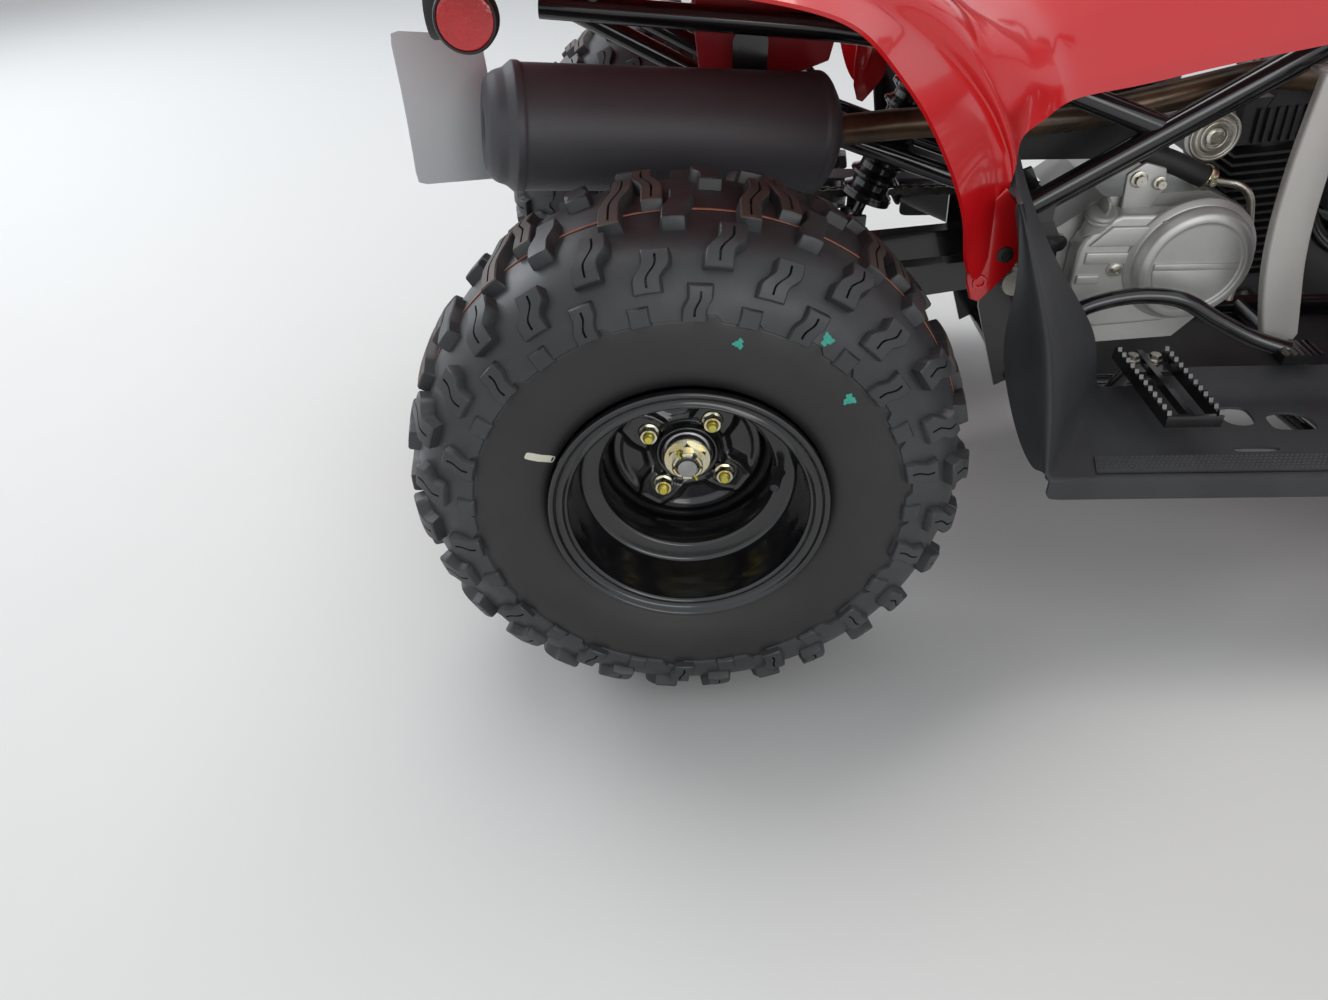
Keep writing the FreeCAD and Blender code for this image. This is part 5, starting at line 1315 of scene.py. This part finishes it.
def makeMuffler():
    look = mufflerShape
    rear, front = Vector(look["rear"]), Vector(look["front"])
    length, radius, seam, hole = (front - rear).length, look["radius"], look["seam"], look["outlet"]
    line = [(hole, 30), (hole, 1.4), (hole + 1.6, 0), (34, 0), (40, 2.5), (45, 9), (47.5, 17), (radius - 2.5, 19.5),
            (radius, 22.5), (radius + seam, 24.5), (radius + seam, 30), (radius, 32.5), (radius, length - 27),
            (radius + seam, length - 24.5), (radius + seam, length - 19), (radius - 1, length - 16),
            (radius - 12, length - 8), (26, length - 1.5), (21, length), (15, length), (14.4, length + 6)]
    axis = (front - rear).normalized()
    place = facing(rear - axis * look["overhang"], axis)
    shape = Shape().add(*turnedAlong(roundCorners(line, 2.6, 4), 96), place=place)
    shape.add(*turnedAlong([(hole, 30), (0.05, 30)], 96), place=place)
    plate = [(-16, 486), (-16, 530), (-10, 542), (10, 542), (16, 530), (16, 486)]
    shape.slab(plate, 5.0, lambda x, z, d: (look["strap"][0] + x, look["strap"][1] + d, z), slot=1)
    piece = shape.piece("mufflerCan", "mufflerPaint", "root", "muffler_paint", parts=["framePaint"], sharp=42)
    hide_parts("muffler")


makeMuffler()
print("muffler made")


# Roller chain: Geometry Nodes sets links along the loop; toothed rings on both sprockets
chainShape = {"rear": (-522.0, 241.5), "front": (-98.0, 300.0), "teeth": (42, 15), "pitch": 12.7, "line": 60.0,
              "plate": 1.5, "waist": 3.6, "end": 5.2, "inner": 3.0, "roller": 3.9, "pin": 2.2}


def loopPoints(look):
    radii = [look["pitch"] / 2 / math.sin(math.pi / teeth) for teeth in look["teeth"]]
    rear, front = Vector(look["rear"]), Vector(look["front"])
    span = front - rear
    middle = math.atan2(span.y, span.x)
    lean = math.acos((radii[0] - radii[1]) / span.length)
    points = []
    for centre, radius, first, last in ((rear, radii[0], middle + lean, middle - lean + 2 * math.pi),
                                        (front, radii[1], middle - lean, middle + lean)):
        for i in range(61):
            turn = first + (last - first) * i / 60
            points.append((centre.x + radius * math.cos(turn), -look["line"], centre.y + radius * math.sin(turn)))
    return points


def lineTree():
    # every other place along a loop takes a link
    tree, start, end = newGroup(
        "copiesAlongALoop", "GeometryNodeTree",
        [("Geometry", "Geometry"), ("Link", "Object"), ("Count", "Int"), ("Parity", "Float"),
         ("Material", "Material")], [("Geometry", "Geometry")])
    given = start.outputs
    curve = addNode(tree, "GeometryNodeMeshToCurve")
    even = addNode(tree, "GeometryNodeResampleCurve")
    parts = addNode(tree, "ShaderNodeSeparateXYZ")
    turn = setMath(tree, "ARCTAN2", parts.outputs["Z"], parts.outputs["X"])
    angles = addNode(tree, "ShaderNodeCombineXYZ")
    odd = setMath(tree, "MODULO", addNode(tree, "GeometryNodeInputIndex").outputs[0], 2.0)
    chosen = setMath(tree, "COMPARE", odd, given["Parity"])
    chosen.node.inputs[2].default_value = 0.1
    link = addNode(tree, "GeometryNodeObjectInfo")
    copies = addNode(tree, "GeometryNodeInstanceOnPoints")
    joinAll(tree, (given["Geometry"], curve.inputs["Mesh"]), (curve.outputs[0], even.inputs["Curve"]),
            (given["Count"], even.inputs["Count"]),
            (addNode(tree, "GeometryNodeInputTangent").outputs[0], parts.inputs[0]),
            (setMath(tree, "MULTIPLY", turn, -1.0), angles.inputs["Y"]), (given["Link"], link.inputs["Object"]),
            (even.outputs[0], copies.inputs["Points"]), (chosen, copies.inputs["Selection"]),
            (link.outputs["Geometry"], copies.inputs["Instance"]), (angles.outputs[0], copies.inputs["Rotation"]))
    paintCopies(tree, copies, start, end)
    return tree


def linkForm(look, inner):
    shape = Shape()
    half = look["pitch"] / 2
    outline = []
    for side in (1, -1):
        for k in range(7):
            turn = math.radians(-72 + 144 * k / 6) + (0 if side > 0 else math.pi)
            outline.append((side * half + look["end"] * math.cos(turn), look["end"] * math.sin(turn)))
        outline.append((0, side * look["waist"]))
    gap = look["inner"] if inner else look["inner"] + look["plate"] + 0.2
    for side in (1, -1):
        shape.slab(outline, look["plate"], lambda x, z, d: (x, side * (gap + d), z))
    reach, radius, count = (gap, look["roller"], 14) if inner else (gap + look["plate"] + 0.8, look["pin"], 10)
    for x in (-half, half):
        shape.add(*turnedAlong([(0.05, -reach), (radius, -reach), (radius, reach), (0.05, reach)], count),
                  place=facing((x, 0, 0), (0, 1, 0)))
    return shape


def makeChain():
    look = chainShape
    points = loopPoints(look)
    length = sum((Vector(points[i]) - Vector(points[i - 1])).length for i in range(len(points)))
    count = int(round(length / look["pitch"] / 2)) * 2
    tree, chain = lineTree(), Shape()
    edges = [(i, (i + 1) % len(points)) for i in range(len(points))]
    for parity, inner in ((0.0, True), (1.0, False)):
        form = linkForm(look, inner)
        link = meshObject("link", form.vertices, form.faces)
        vertices, faces = copiesFrom(meshObject("path", points, [], edges), tree, Link=link, Count=count,
                                     Parity=parity, Material=materials["chainSteel"])
        chain.add([(v.x, v.y + 2 * look["line"], v.z) for v in vertices], faces)
        bpy.data.objects.remove(link)
    piece = chain.piece("chainLinks", "chainSteel", "root", "steel", sharp=40)
    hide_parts("chain")
    for name, body, centre, teeth in (("rearTeeth", "rear_axle", look["rear"], look["teeth"][0]),
                                      ("frontTeeth", "root", look["front"], look["teeth"][1])):
        radius = look["pitch"] / 2 / math.sin(math.pi / teeth)
        foot = radius - 4.4
        step = math.pi / teeth
        tooth = []
        for share, height in ((-1.0, 0), (-0.62, 0.4), (-0.36, 3.4), (-0.14, 6.6),
                              (0.14, 6.6), (0.36, 3.4), (0.62, 0.4), (1.0, 0)):
            turn = share * step
            tooth.append(((foot + height) * math.cos(turn), (foot + height) * math.sin(turn)))
        root = foot - 7.0
        tooth += [(root * math.cos(step), root * math.sin(step)), (root * math.cos(step), -root * math.sin(step))]
        flat, faces = prism(tooth, 4.4)
        vertices, faces = ringMesh([(x, d - 2.2, z) for x, z, d in flat], faces, teeth, 360.0 / teeth / 2, "steelBare")
        ring = Shape().add([(x + centre[0], y + look["line"], z + centre[1]) for x, y, z in vertices], faces)
        ring.piece(name, "steelBare", body, "steel", sharp=30)


makeChain()
print("chain made")


# Engine: the clutch cover with its bosses and bolts, the dipstick, intake cap, hose clamps and a bracket
coverShape = {"back": -74.3, "face": -103.0, "round": -124.0, "centre": (4.0, 309.0), "segment": 43.4}
coverOutline = ((-112, 262), (-112, 320), (-108, 332), (-88, 352), (-76, 358), (14, 358), (24, 353), (36, 340),
                (40, 330), (40, 270), (36, 262), (8, 242), (-4, 238), (-74, 232), (-86, 236), (-106, 252))
engineBolts = ((-70, 300), (36, 258), (-34, 351))
# raised panels on the cover: outline (x, z), height
coverPanels = (
    (((-104, 326), (-84, 347), (-30, 347), (-44, 326)), 4.0),
    (((-104, 306), (-104, 319), (-58, 319), (-52, 306)), 2.4),
    (((-108, 284), (-108, 294), (-84, 294), (-84, 284)), 3.0),
)


def boltForm(shape, where, along, flats=8.0, slot=1, boss=8.5):
    place, reach = facing(where, along), 2.5
    shape.add(*solidTurned([(boss, -4), (boss, reach - 1.2), (boss - 1.2, reach)], 32), place=place)
    shape.add(*solidTurned([(flats * 0.82, 0), (flats * 0.82, 1.0), (flats * 0.7, 1.4)], 28), slot=slot,
              place=place @ Matrix.Translation((0, 0, reach)))
    shape.add(*hexNut(flats, 5.5, 0.05), slot=slot, place=place @ Matrix.Translation((0, 0, reach + 1.2)))


def outFrom(y):
    # slabs on the right side of the engine stand out from y
    return lambda x, z, d: (x, y - d, z)


def castPiece(shape, name, sharp):
    return shape.piece(name, "castSilver", "root", "cast_aluminium", sharp=sharp)


def makeCover():
    look = coverShape
    x, z = look["centre"]
    cover = castPiece(Shape().slab(coverOutline, look["back"] - look["face"], outFrom(look["back"])),
                      "clutchCover", 30)
    softened(cover, 5.0, 4)
    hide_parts("clutch_cover")
    rim = Shape()
    for line, curve, level in (
            ([(0.05, 27.5), (44.0, 27.5), (46.0, 28.2), (47.5, 31.0), (51.0, 31.0), (56.0, 29.0), (60.0, 21.5),
              (60.0, 0.0)], (1.6, 4), look["round"] + 31.0),
            ([(60.0, 0), (66.0, 0.0), (66.0, 3.0), (61.0, 7.5), (60.0, 8)], (1.2, 3), look["face"] + 1.0)):
        rim.add(*turnedAlong(roundCorners(line, *curve), 128), place=facing((x, level, z), (0, -1, 0)))
    castPiece(rim, "clutchRound", 38)
    radius, turns = look["segment"], [math.radians(-4 - 172 * k / 24) for k in range(25)]
    segment = [(x - 42.5, z - 3), (x + 42.5, z - 3)]
    segment += [(radius * math.cos(turn) + x, radius * math.sin(turn) + z) for turn in turns]
    low = Shape().slab(segment, 2.4, outFrom(look["round"] + 4.4))
    bar = [(x - 43, z - 3), (x + 43, z - 3), (x + 43, z + 4), (x - 43, z + 4)]
    low.slab(bar, 3.4, outFrom(look["round"] + 4.4))
    softened(castPiece(low, "clutchSegment", 30), 0.9)
    place = facing((-96, -88, 334), Vector((0, -0.35, 1)).normalized())
    line = roundCorners([(17, -16), (12.4, -4), (12.4, 17), (14.6, 19), (14.6, 23), (11, 24), (0.05, 24)], 1.2, 3)
    castPiece(Shape().add(*turnedAlong(line, 48), place=place), "fillerNeck", 40)
    line = roundCorners([(0.05, 23.6), (15.4, 23.6), (15.6, 27), (13, 29), (7, 30), (0.05, 30)], 0.8, 3)
    cap = Shape().add(*turnedAlong(line, 48), place=place)
    wing, faces = prism([(-8, 29), (-8.5, 38), (-6, 43), (0, 45.5), (6, 43), (8.5, 38), (8, 29)], 3.6)
    cap.add([(a * 0.3 + (d - 1.8) * 0.95, (d - 1.8) * 0.3 - a * 0.95, b) for a, b, d in wing], faces, place=place)
    softened(cap.piece("dipstickCap", "capGrey", "root", "cast_aluminium", sharp=40), 0.8)
    raised = Shape()
    for outline, height in coverPanels:
        raised.slab(outline, height + 2, outFrom(look["face"] + 2))
    softened(castPiece(raised, "coverPanels", 30), 1.8, 3)
    bolts = Shape()
    for boltX, boltZ in engineBolts:
        boltForm(bolts, (boltX, look["face"] - 0.2, boltZ), (0, -1, 0))
    bolts.piece("coverBolts", "castSilver", "root", "cast_aluminium", parts=["zincSilver"], sharp=34)


def makeIntake():
    line = [(0.05, 9), (4.5, 9), (4.5, 5), (9, 4), (10, 6.5), (15, 6.5), (16.5, 3), (20.5, 3), (22, 5), (24.5, 5),
            (25, 0), (25, -6)]
    cap = Shape().add(*turnedAlong(roundCorners(line, 0.8, 3), 72), place=facing((11, -62, 423), (0, -1, 0)))
    cap.add(*hexNut(9.0, 5.0, 0.05), place=facing((11, -71, 423), (0, -1, 0)))
    cap.piece("intakeCap", "zincSilver", "root", "zinc", sharp=36)
    line = roundCorners([(11.2, -4), (12.6, -4), (12.6, 4), (11.2, 4)], 0.4, 2)
    clamp = Shape().add(*turnedAlong(line, 40), place=facing((12, -71.6, 384.2), (1, 0, -0.42)))
    clamp.add(*hexNut(7, 5, 0.05), place=facing((12, -84, 384), (0, -1, 0)))
    clamp.piece("hoseClamps", "zincGold", "root", "zinc", sharp=36)
    outline = [(-70, 352), (-74, 392), (-58, 404), (-36, 398), (-30, 380), (-44, 352)]
    softened(castPiece(Shape().slab(outline, 5.0, outFrom(-78)), "engineBracket", 30), 1.6, 3)
    bolts = Shape()
    for where, flats, boss in (((-62, -83, 388), 10, 7), ((-40, -83, 384), 8, 6)):
        boltForm(bolts, where, (0, -1, 0), flats=flats, slot=0, boss=boss)
    bolts.piece("bracketBolts", "zincSilver", "root", "zinc", sharp=34)


makeCover()
makeIntake()
print("engine made")


# Footwells: one moulded sheet with drain openings, a heel guard with its edge turned back and a lip
wellShape = {"thickness": 3.2, "levels": 2, "floor": 207.5, "rearInner": (-94.0, 190.0), "rearOuter": (-194.0, 350.0)}
wellColumns = (186, 200, 214, 228, 238, 264, 272, 292, 298, 307, 311, 338, 345, 350, 350.5, 350)
wellRows = (174, 160, 148, 120, 92, 48, 38, 6, -8, -32, -60)
wellOpenings = ((38, 6, 228, 264), (92, 48, 238, 272), (38, -8, 298, 307))   # from x, to x, from y, to y
lipDrops = {12: 1.0, 14: -9.0, 15: -21.0}   # columns of the lip and how far they stand over the floor
guardRows = (   # inner (x, z), outer (x, z), turned edge (x, y, z)
    ((-99, 214), (-197, 216), (-203, 330, 206)),
    ((-103, 236), (-201, 240), (-216, 322, 226)),
    ((-112, 268), (-206, 268), (-231, 317, 262)),
    ((-134, 300), (-213, 302), (-244, 314, 300)),
    ((-168, 345), (-226, 354), (-254, 317, 340)),
    ((-200, 396), (-246, 404), (-258, 338, 392)),
    ((-220, 436), (-262, 442), (-268, 345, 438)),
    ((-226, 452), (-272, 464), (-275, 348, 462)),
)


def wellHeight(x, y):
    look = wellShape
    height = look["floor"]
    if y < 216:
        height += 22.0 * smoothStep(214, 188, y) * smoothStep(-40, -20, x)
    if x > 148:
        height += (x - 148) * 0.95
    return height


def isOpen(a, b):
    x, y = (a[0] + b[0]) / 2, abs(a[1] + b[1]) / 2
    return any(low <= x <= high and y0 <= y <= y1 for high, low, y0, y1 in wellOpenings)


def makeFootwell(side):
    look = wellShape
    cage, rows = Cage(), []
    (innerX, innerY), (outerX, outerY) = look["rearInner"], look["rearOuter"]
    slant = (outerX - innerX) / (outerY - innerY)
    marks = [("row", x) for x in wellRows] + [("share", t) for t in (0.3, 0.6, 0.86, 1.0)]
    for kind, value in marks:
        points = []
        for k, y in enumerate(wellColumns):
            rear = innerX + slant * (min(y, 350) - innerY)
            x = value if kind == "row" else wellRows[-1] + (rear - wellRows[-1]) * value
            z = wellHeight(x, y) + lipDrops.get(k, 0.0)
            points.append((min(x, 172) if k == 15 else x, side * y, z))
        rows.append(cage.row(points))
    for here, there, (kind, _) in zip(rows, rows[1:], marks[1:]):
        for c in range(len(wellColumns) - 1):
            if kind != "row" or not isOpen(cage.vertices[here[c]], cage.vertices[there[c + 1]]):
                cage.faces.append([here[c], here[c + 1], there[c + 1], there[c]])
        cage.creases += [(here[12], there[12], 0.5), (here[13], there[13], 0.6)]
    above, flange = rows[-1][:14], []
    for (x0, z0), (x1, z1), turned in guardRows:
        points = []
        for y in wellColumns[:13]:
            share = (y - innerY) / (outerY - innerY)
            bow = 5.0 * math.sin(math.pi * min(max(share, 0.0), 1.0))
            points.append((x0 + (x1 - x0) * share - bow, side * y, z0 + (z1 - z0) * share))
        points.append((x1 - 3, side * 350, z1))
        here = cage.row(points)
        cage.strip(above, here, {12: 0.2})
        above = here
        edge = [(x1 * 0.5 + turned[0] * 0.5, side * (344 * 0.5 + turned[1] * 0.5), z1 * 0.5 + turned[2] * 0.5),
                (turned[0], side * turned[1], turned[2])]
        flange.append([here[13]] + cage.row(edge))
    for first, second in zip(flange, flange[1:]):
        cage.strip(first, second)
    return cage


for side, name in sides:
    piece = makeFootwell(side).piece("footwell" + name, "footPlastic", "root", "black_plastic",
                                     wellShape["thickness"], wellShape["levels"], sharp=45)
    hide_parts("footwell_" + name.lower())
print("footwells made")


# Grip strips on the footwells, guard arms, pedals and the bolts of the footpegs
stripShape = {"from": -142.0, "to": 148.0, "inner": 314.0, "outer": 340.0, "pitch": 4.6, "height": 1.5, "low": 208.6}


def makeStrips():
    look = stripShape
    start, end, inner, outer, pitch = (look[key] for key in ("from", "to", "inner", "outer", "pitch"))
    shape = Shape()
    z = look["low"] + 1.5
    half, tip = pitch * 0.46, z + look["height"]
    rows, columns = int((outer - inner - 1) / pitch), int((end - start) / pitch)
    for side, _ in sides:
        shape.slab([(start, inner), (end, inner), (end, outer), (start - 7, outer)], 1.6,
                   lambda x, y, d: (x, side * y, look["low"] + d))
        for r in range(rows):
            y = inner + 2.6 + r * pitch
            for c in range(columns):
                x = start + 2.0 + (c + 0.5 * (r % 2)) * pitch - 6 * r / rows
                shape.add([(x - half, side * y, z), (x, side * (y - half), z), (x + half, side * y, z),
                           (x, side * (y + half), z), (x, side * y, tip)],
                          [[0, 1, 4], [1, 2, 4], [2, 3, 4], [3, 0, 4]])
    shape.piece("gripStrips", "footPlastic", "root", "black_plastic", sharp=25)


def makeGuards():
    outer = smoothLine([(70, 505), (71, 460), (72, 420), (77, 372), (85, 330), (97, 288), (107, 254)], 4)
    inner = smoothLine([(70, 254), (57, 290), (46, 330), (39, 372), (35, 420), (34, 460), (34, 505)], 4)
    outline = [tuple(p) for p in outer] + [(104, 245), (96, 240.5), (84, 240.5), (74, 245)] + [tuple(p) for p in inner]
    foot = [(40, 128), (66, 128), (66, 156), (40, 156)]
    shape = Shape()
    for side, _ in sides:
        shape.slab(outline, 12, lambda x, z, d: (x, side * (154 + d), z))
        shape.slab(foot, 7, lambda x, y, d: (x, side * y, 498 + d))
    piece = softened(shape.piece("guardArms", "guardGrey", "root", "cast_aluminium", sharp=30), 4.2, 4, angle=50)
    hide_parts("guard_arms")


def makePedals():
    shape = Shape()
    brake = [(-137, -150, 264), (-104, -151, 284), (-62, -152, 293), (-20, -156, 290), (20, -162, 270),
             (58, -170, 253), (92, -180, 244)]
    shape.add(*tubeAlong(smoothLine(brake), 8.4, 24))
    shape.add(*tubeAlong([(-137, -110, 264), (-137, -158.5, 264)], 11, 28))
    shape.slab([(78, 168), (118, 168), (118, 200), (78, 200)], 10, lambda x, y, d: (x, -y, 238 + d))
    for x in range(80, 120, 8):
        tooth = [(x, 247.6), (x + 3, 250), (x + 5, 250), (x + 8, 247.6)]
        shape.slab(tooth, 30, lambda x, z, d: (x, -169 - d, z))
    shifter = [(-40, 118, 250), (20, 138, 248), (80, 140, 249), (124, 140, 250)]
    shape.add(*tubeAlong(smoothLine(shifter), 6, 20))
    shape.add(*tubeAlong([(-40, 109, 250), (-40, 128, 250)], 10, 24))
    line = [(0.05, 0), (8, 0)] + [(8.2 if k % 2 else 9, 1 + k * 2) for k in range(31)] + [(8, 64), (0.05, 64)]
    shape.add(*turnedAlong(line, 28), slot=1, place=facing((124, 136, 250), (0, 1, 0)))
    piece = shape.piece("footPedals", "framePaint", "root", "frame_paint", parts=["rubber"], sharp=40)
    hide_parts("foot_pedals")


def makePegBolts():
    shape = Shape()
    for side, _ in sides:
        for x in (-64, -41):
            place = Matrix.Translation((x, side * 182, 236.4))
            shape.add(*solidTurned([(7.5, 0), (7.5, 1.2), (5.5, 1.6)], 28), place=place)
            shape.add(*hexNut(10, 5, 0.05), place=place @ Matrix.Translation((0, 0, 1.2)))
    shape.piece("pegBolts", "zincSilver", "root", "zinc", sharp=34)


makeStrips()
makeGuards()
makePedals()
makePegBolts()
print("trim made")


# Seat and bar pad: closed forms blown up by a cloth simulation, with seams laid on afterwards
padLooks = {
    "seat": {"voxel": 6.0, "pressure": 4.0, "cap": 9.0, "rest": 7.0, "seam": 1.5},
    "barPad": {"voxel": 4.0, "pressure": 4.0, "cap": 6.0, "rest": 0.0},
}
seatRows = (   # x, half width, top
    (-606, 70, 650), (-600, 86, 662), (-560, 104, 664), (-500, 112, 664), (-430, 117, 656), (-345, 117, 650),
    (-230, 110, 645), (-120, 99, 648), (-50, 87, 664), (0, 77, 682), (28, 68, 690), (34, 60, 680))
deckLow = ((-706, 606), (-620, 602), (-520, 598), (-430, 592), (-345, 588), (40, 624))


def crownSection(x, low, half, high):
    tall = high - low
    right = [(0, low), (half * 0.6, low), (half - 17, low + 1), (half - 8, low + tall * 0.16),
             (half - 4, low + tall * 0.4), (half - 3, low + tall * 0.62), (half - 8, low + tall * 0.82),
             (half - 20, high - 4), (half * 0.62, high), (half * 0.3, high + 1), (0, high + 1)]
    left = [(-y, z) for y, z in right[-2:0:-1]]
    return [(x, y, z) for y, z in right + left]


def swollen(piece, look, low=None):
    remesh = piece.modifiers.new("voxels", "REMESH")
    remesh.mode = "VOXEL"
    remesh.voxel_size = look["voxel"] * mm
    applied(piece)
    scene = bpy.context.scene
    before = [v.co.copy() for v in piece.data.vertices]
    cloth = piece.modifiers.new("cloth", "CLOTH")
    cloth.settings.use_pressure = True
    cloth.settings.uniform_pressure_force = look["pressure"]
    cloth.settings.effector_weights.gravity = 0
    if look["rest"]:
        held = piece.vertex_groups.new(name="rest")
        floor = [v.index for v in piece.data.vertices if v.co.z / mm < low(v.co.x / mm) + look["rest"]]
        held.add(floor, 1.0, "REPLACE")
        cloth.settings.vertex_group_mass = "rest"
    for number in range(1, 21):
        scene.frame_set(number)
    graph = bpy.context.evaluated_depsgraph_get()
    moved = bpy.data.meshes.new_from_object(piece.evaluated_get(graph), depsgraph=graph)
    after = [v.co.copy() for v in moved.vertices]
    piece.modifiers.clear()
    bpy.data.meshes.remove(moved)
    most = look["cap"] * mm
    for vertex, a, b in zip(piece.data.vertices, before, after):
        step = b - a
        if step.length > most:
            step = step * (most / step.length)
        vertex.co = a + step
    scene.frame_set(1)
    piece.vertex_groups.clear()
    subdivided(piece, 1)
    applied(piece)
    piece.data.shade_smooth()


def seamOn(piece, lines, radius, name, material, slot):
    tree = BVHTree.FromObject(piece, bpy.context.evaluated_depsgraph_get())
    shape = Shape()
    for line in lines:
        laid = []
        for point in smoothLine(line, 6):
            found = tree.find_nearest(Vector(point) * mm)
            laid.append(found[0] / mm + found[1] * (radius * 0.2))
        for _ in range(3):
            between = [(laid[i - 1] + laid[i] * 2 + laid[i + 1]) / 4 for i in range(1, len(laid) - 1)]
            laid = [laid[0]] + between + [laid[-1]]
        shape.add(*tubeAlong(laid, radius, 8))
    shape.piece(name, material, "root", slot, sharp=60)


def deckAt(x):
    for (x0, z0), (x1, z1) in zip(deckLow, deckLow[1:]):
        if x <= x1:
            return z0 + (z1 - z0) * (x - x0) / (x1 - x0)
    return deckLow[-1][1]


def makeSeat():
    look = padLooks["seat"]
    sections = [crownSection(x, deckAt(x) + 1.5, half, high) for x, half, high in seatRows]
    rows, count = len(sections), len(sections[0])
    shape = Shape().add(sum(sections, []), gridFaces(rows, count, closedColumns=True) + endFaces(rows, count))
    seat = shape.piece("seatPad", "vinyl", "root", "seat_vinyl", sharp=60)
    swollen(seat, look, deckAt)
    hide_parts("seat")
    lines = [[(x, side * (half - 8), high + 8) for x, half, high in seatRows[1:-1]] for side, _ in sides]
    lines += [[(-470, y, 700) for y in (-112, -80, -40, 0, 40, 80, 112)],
              [(-90, y, 700) for y in (-96, -70, -35, 0, 35, 70, 96)]]
    seamOn(seat, lines, look["seam"], "seatSeams", "vinylSeam", "seat_vinyl")


def makeBarPad():
    look = padLooks["barPad"]
    low, high = (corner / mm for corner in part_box("bar_pad"))
    middle, inset, around = (low + high) / 2, 5.0, 20
    vertices = []
    shares = ((-1.0, 0.8), (-0.94, 0.93), (-0.6, 1.0), (0.0, 0.98), (0.6, 1.0), (0.94, 0.93), (1.0, 0.8))
    for share, size in shares:
        y = middle.y + share * ((high.y - low.y) / 2 - inset)
        for k in range(around):
            turn = 2 * math.pi * k / around
            c, s = math.cos(turn), math.sin(turn)
            bulge = (abs(c) ** 4 + abs(s) ** 4) ** -0.25
            vertices.append((middle.x + ((high.x - low.x) / 2 - inset) * size * c * bulge, y,
                             middle.z + ((high.z - low.z) / 2 - inset) * size * s * bulge))
    faces = gridFaces(len(shares), around, closedColumns=True) + endFaces(len(shares), around)
    body = frame["nodes"]["bar_pad"]["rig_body"]
    pad = Shape().add(vertices, faces).piece("barPad", "vinyl", body, "seat_vinyl", sharp=60)
    swollen(pad, look)
    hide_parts("bar_pad")


makeSeat()
makeBarPad()
print("seat and bar pad made")


# Reflectors with prism lenses in rubber rims, and the blank card that hangs behind them
lensShape = {"radius": 20.5, "rim": 2.5, "dome": 1.2}


def makeReflectors():
    look = lensShape
    radius, outer = look["radius"], look["radius"] + look["rim"]
    rims, lenses = Shape(), Shape()
    for side, _ in sides:
        for centre, along, back in (((-676, side * 306.3, 588), (0, side, 0), -13.9),
                                    ((-708.3, side * 256, 588), (-1, 0, 0), -11.9)):
            place = facing(centre, along)
            rims.add(*solidTurned([(outer - 3, back), (outer - 0.6, back + 2), (outer, back + 5), (outer, 1.6),
                                   (outer - 1, 3.2), (radius + 0.2, 3.4), (radius, 1.2), (radius - 2, 0.2)], 64),
                     place=place)
            lens = [(radius - 0.2, 0.6), (radius - 0.3, 2.6), (radius - 1.4, 3.3)]
            lens += [(radius * k / 9, 3.3 + look["dome"] * (1 - (k / 9) ** 2) * 0.5 + (0.25 if k % 2 else 0))
                     for k in range(8, 0, -1)]
            lenses.add(*solidTurned(lens, 64), place=place)
    for side, _ in sides:
        low, high = min(side * 240, side * 296), max(side * 240, side * 296)
        rims.slab([(-700, low), (-672, low), (-672, high), (-700, high)], 24.6,
                  lambda x, y, d: (x, y, 602.6 + d))
    rim = rims.piece("reflectorRims", "rubber", "root", "rubber", sharp=40)
    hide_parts("reflector_housings")
    lens = lenses.piece("reflectorLenses", "lensRed", "root", "lens_red", sharp=50)
    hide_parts("reflector_lenses")


def makeCard():
    # corners: top left, bottom left, bottom right; the fourth follows
    a, b, c = Vector((-761, -200, 561)), Vector((-759, -200, 435)), Vector((-698, -130, 416))
    across, down = (a + (c - b)) - a, b - a
    rows, columns, corner = 12, 10, 0.06
    points = []
    for i in range(rows + 1):
        for j in range(columns + 1):
            u, v = j / columns, i / rows
            du = max(corner - min(u, 1 - u), 0) / corner
            dv = max(corner - min(v, 1 - v), 0) / corner
            if du > 0 and dv > 0:
                pull = (1 - 1 / max(1.0, math.hypot(du, dv))) * corner
                u += pull * (1 if u < 0.5 else -1)
                v += pull * (1 if v < 0.5 else -1)
            bow = 3.0 * math.sin(math.pi * v) * (0.4 + 0.6 * u)
            points.append(a + across * u + down * v + Vector((bow, 0, 0)))
    card = Shape().add(points, gridFaces(rows + 1, columns + 1)).piece("hangCard", "cardWhite", "root", None, sharp=60)
    shell = card.modifiers.new("sheet", "SOLIDIFY")
    shell.thickness = 0.6 * mm
    finishMesh(applied(card).data, 40)
    tie = smoothLine([a + across * 0.5 + down * 0.04, a + across * 0.52 - down * 0.12, Vector((-712, -196, 590)),
                      Vector((-700, -230, 604))], 8)
    Shape().add(*tubeAlong(tie, 1.0, 10)).piece("cardTie", "blackPlastic", "root", "black_plastic", sharp=40)


makeReflectors()
makeCard()
print("reflectors and card made")
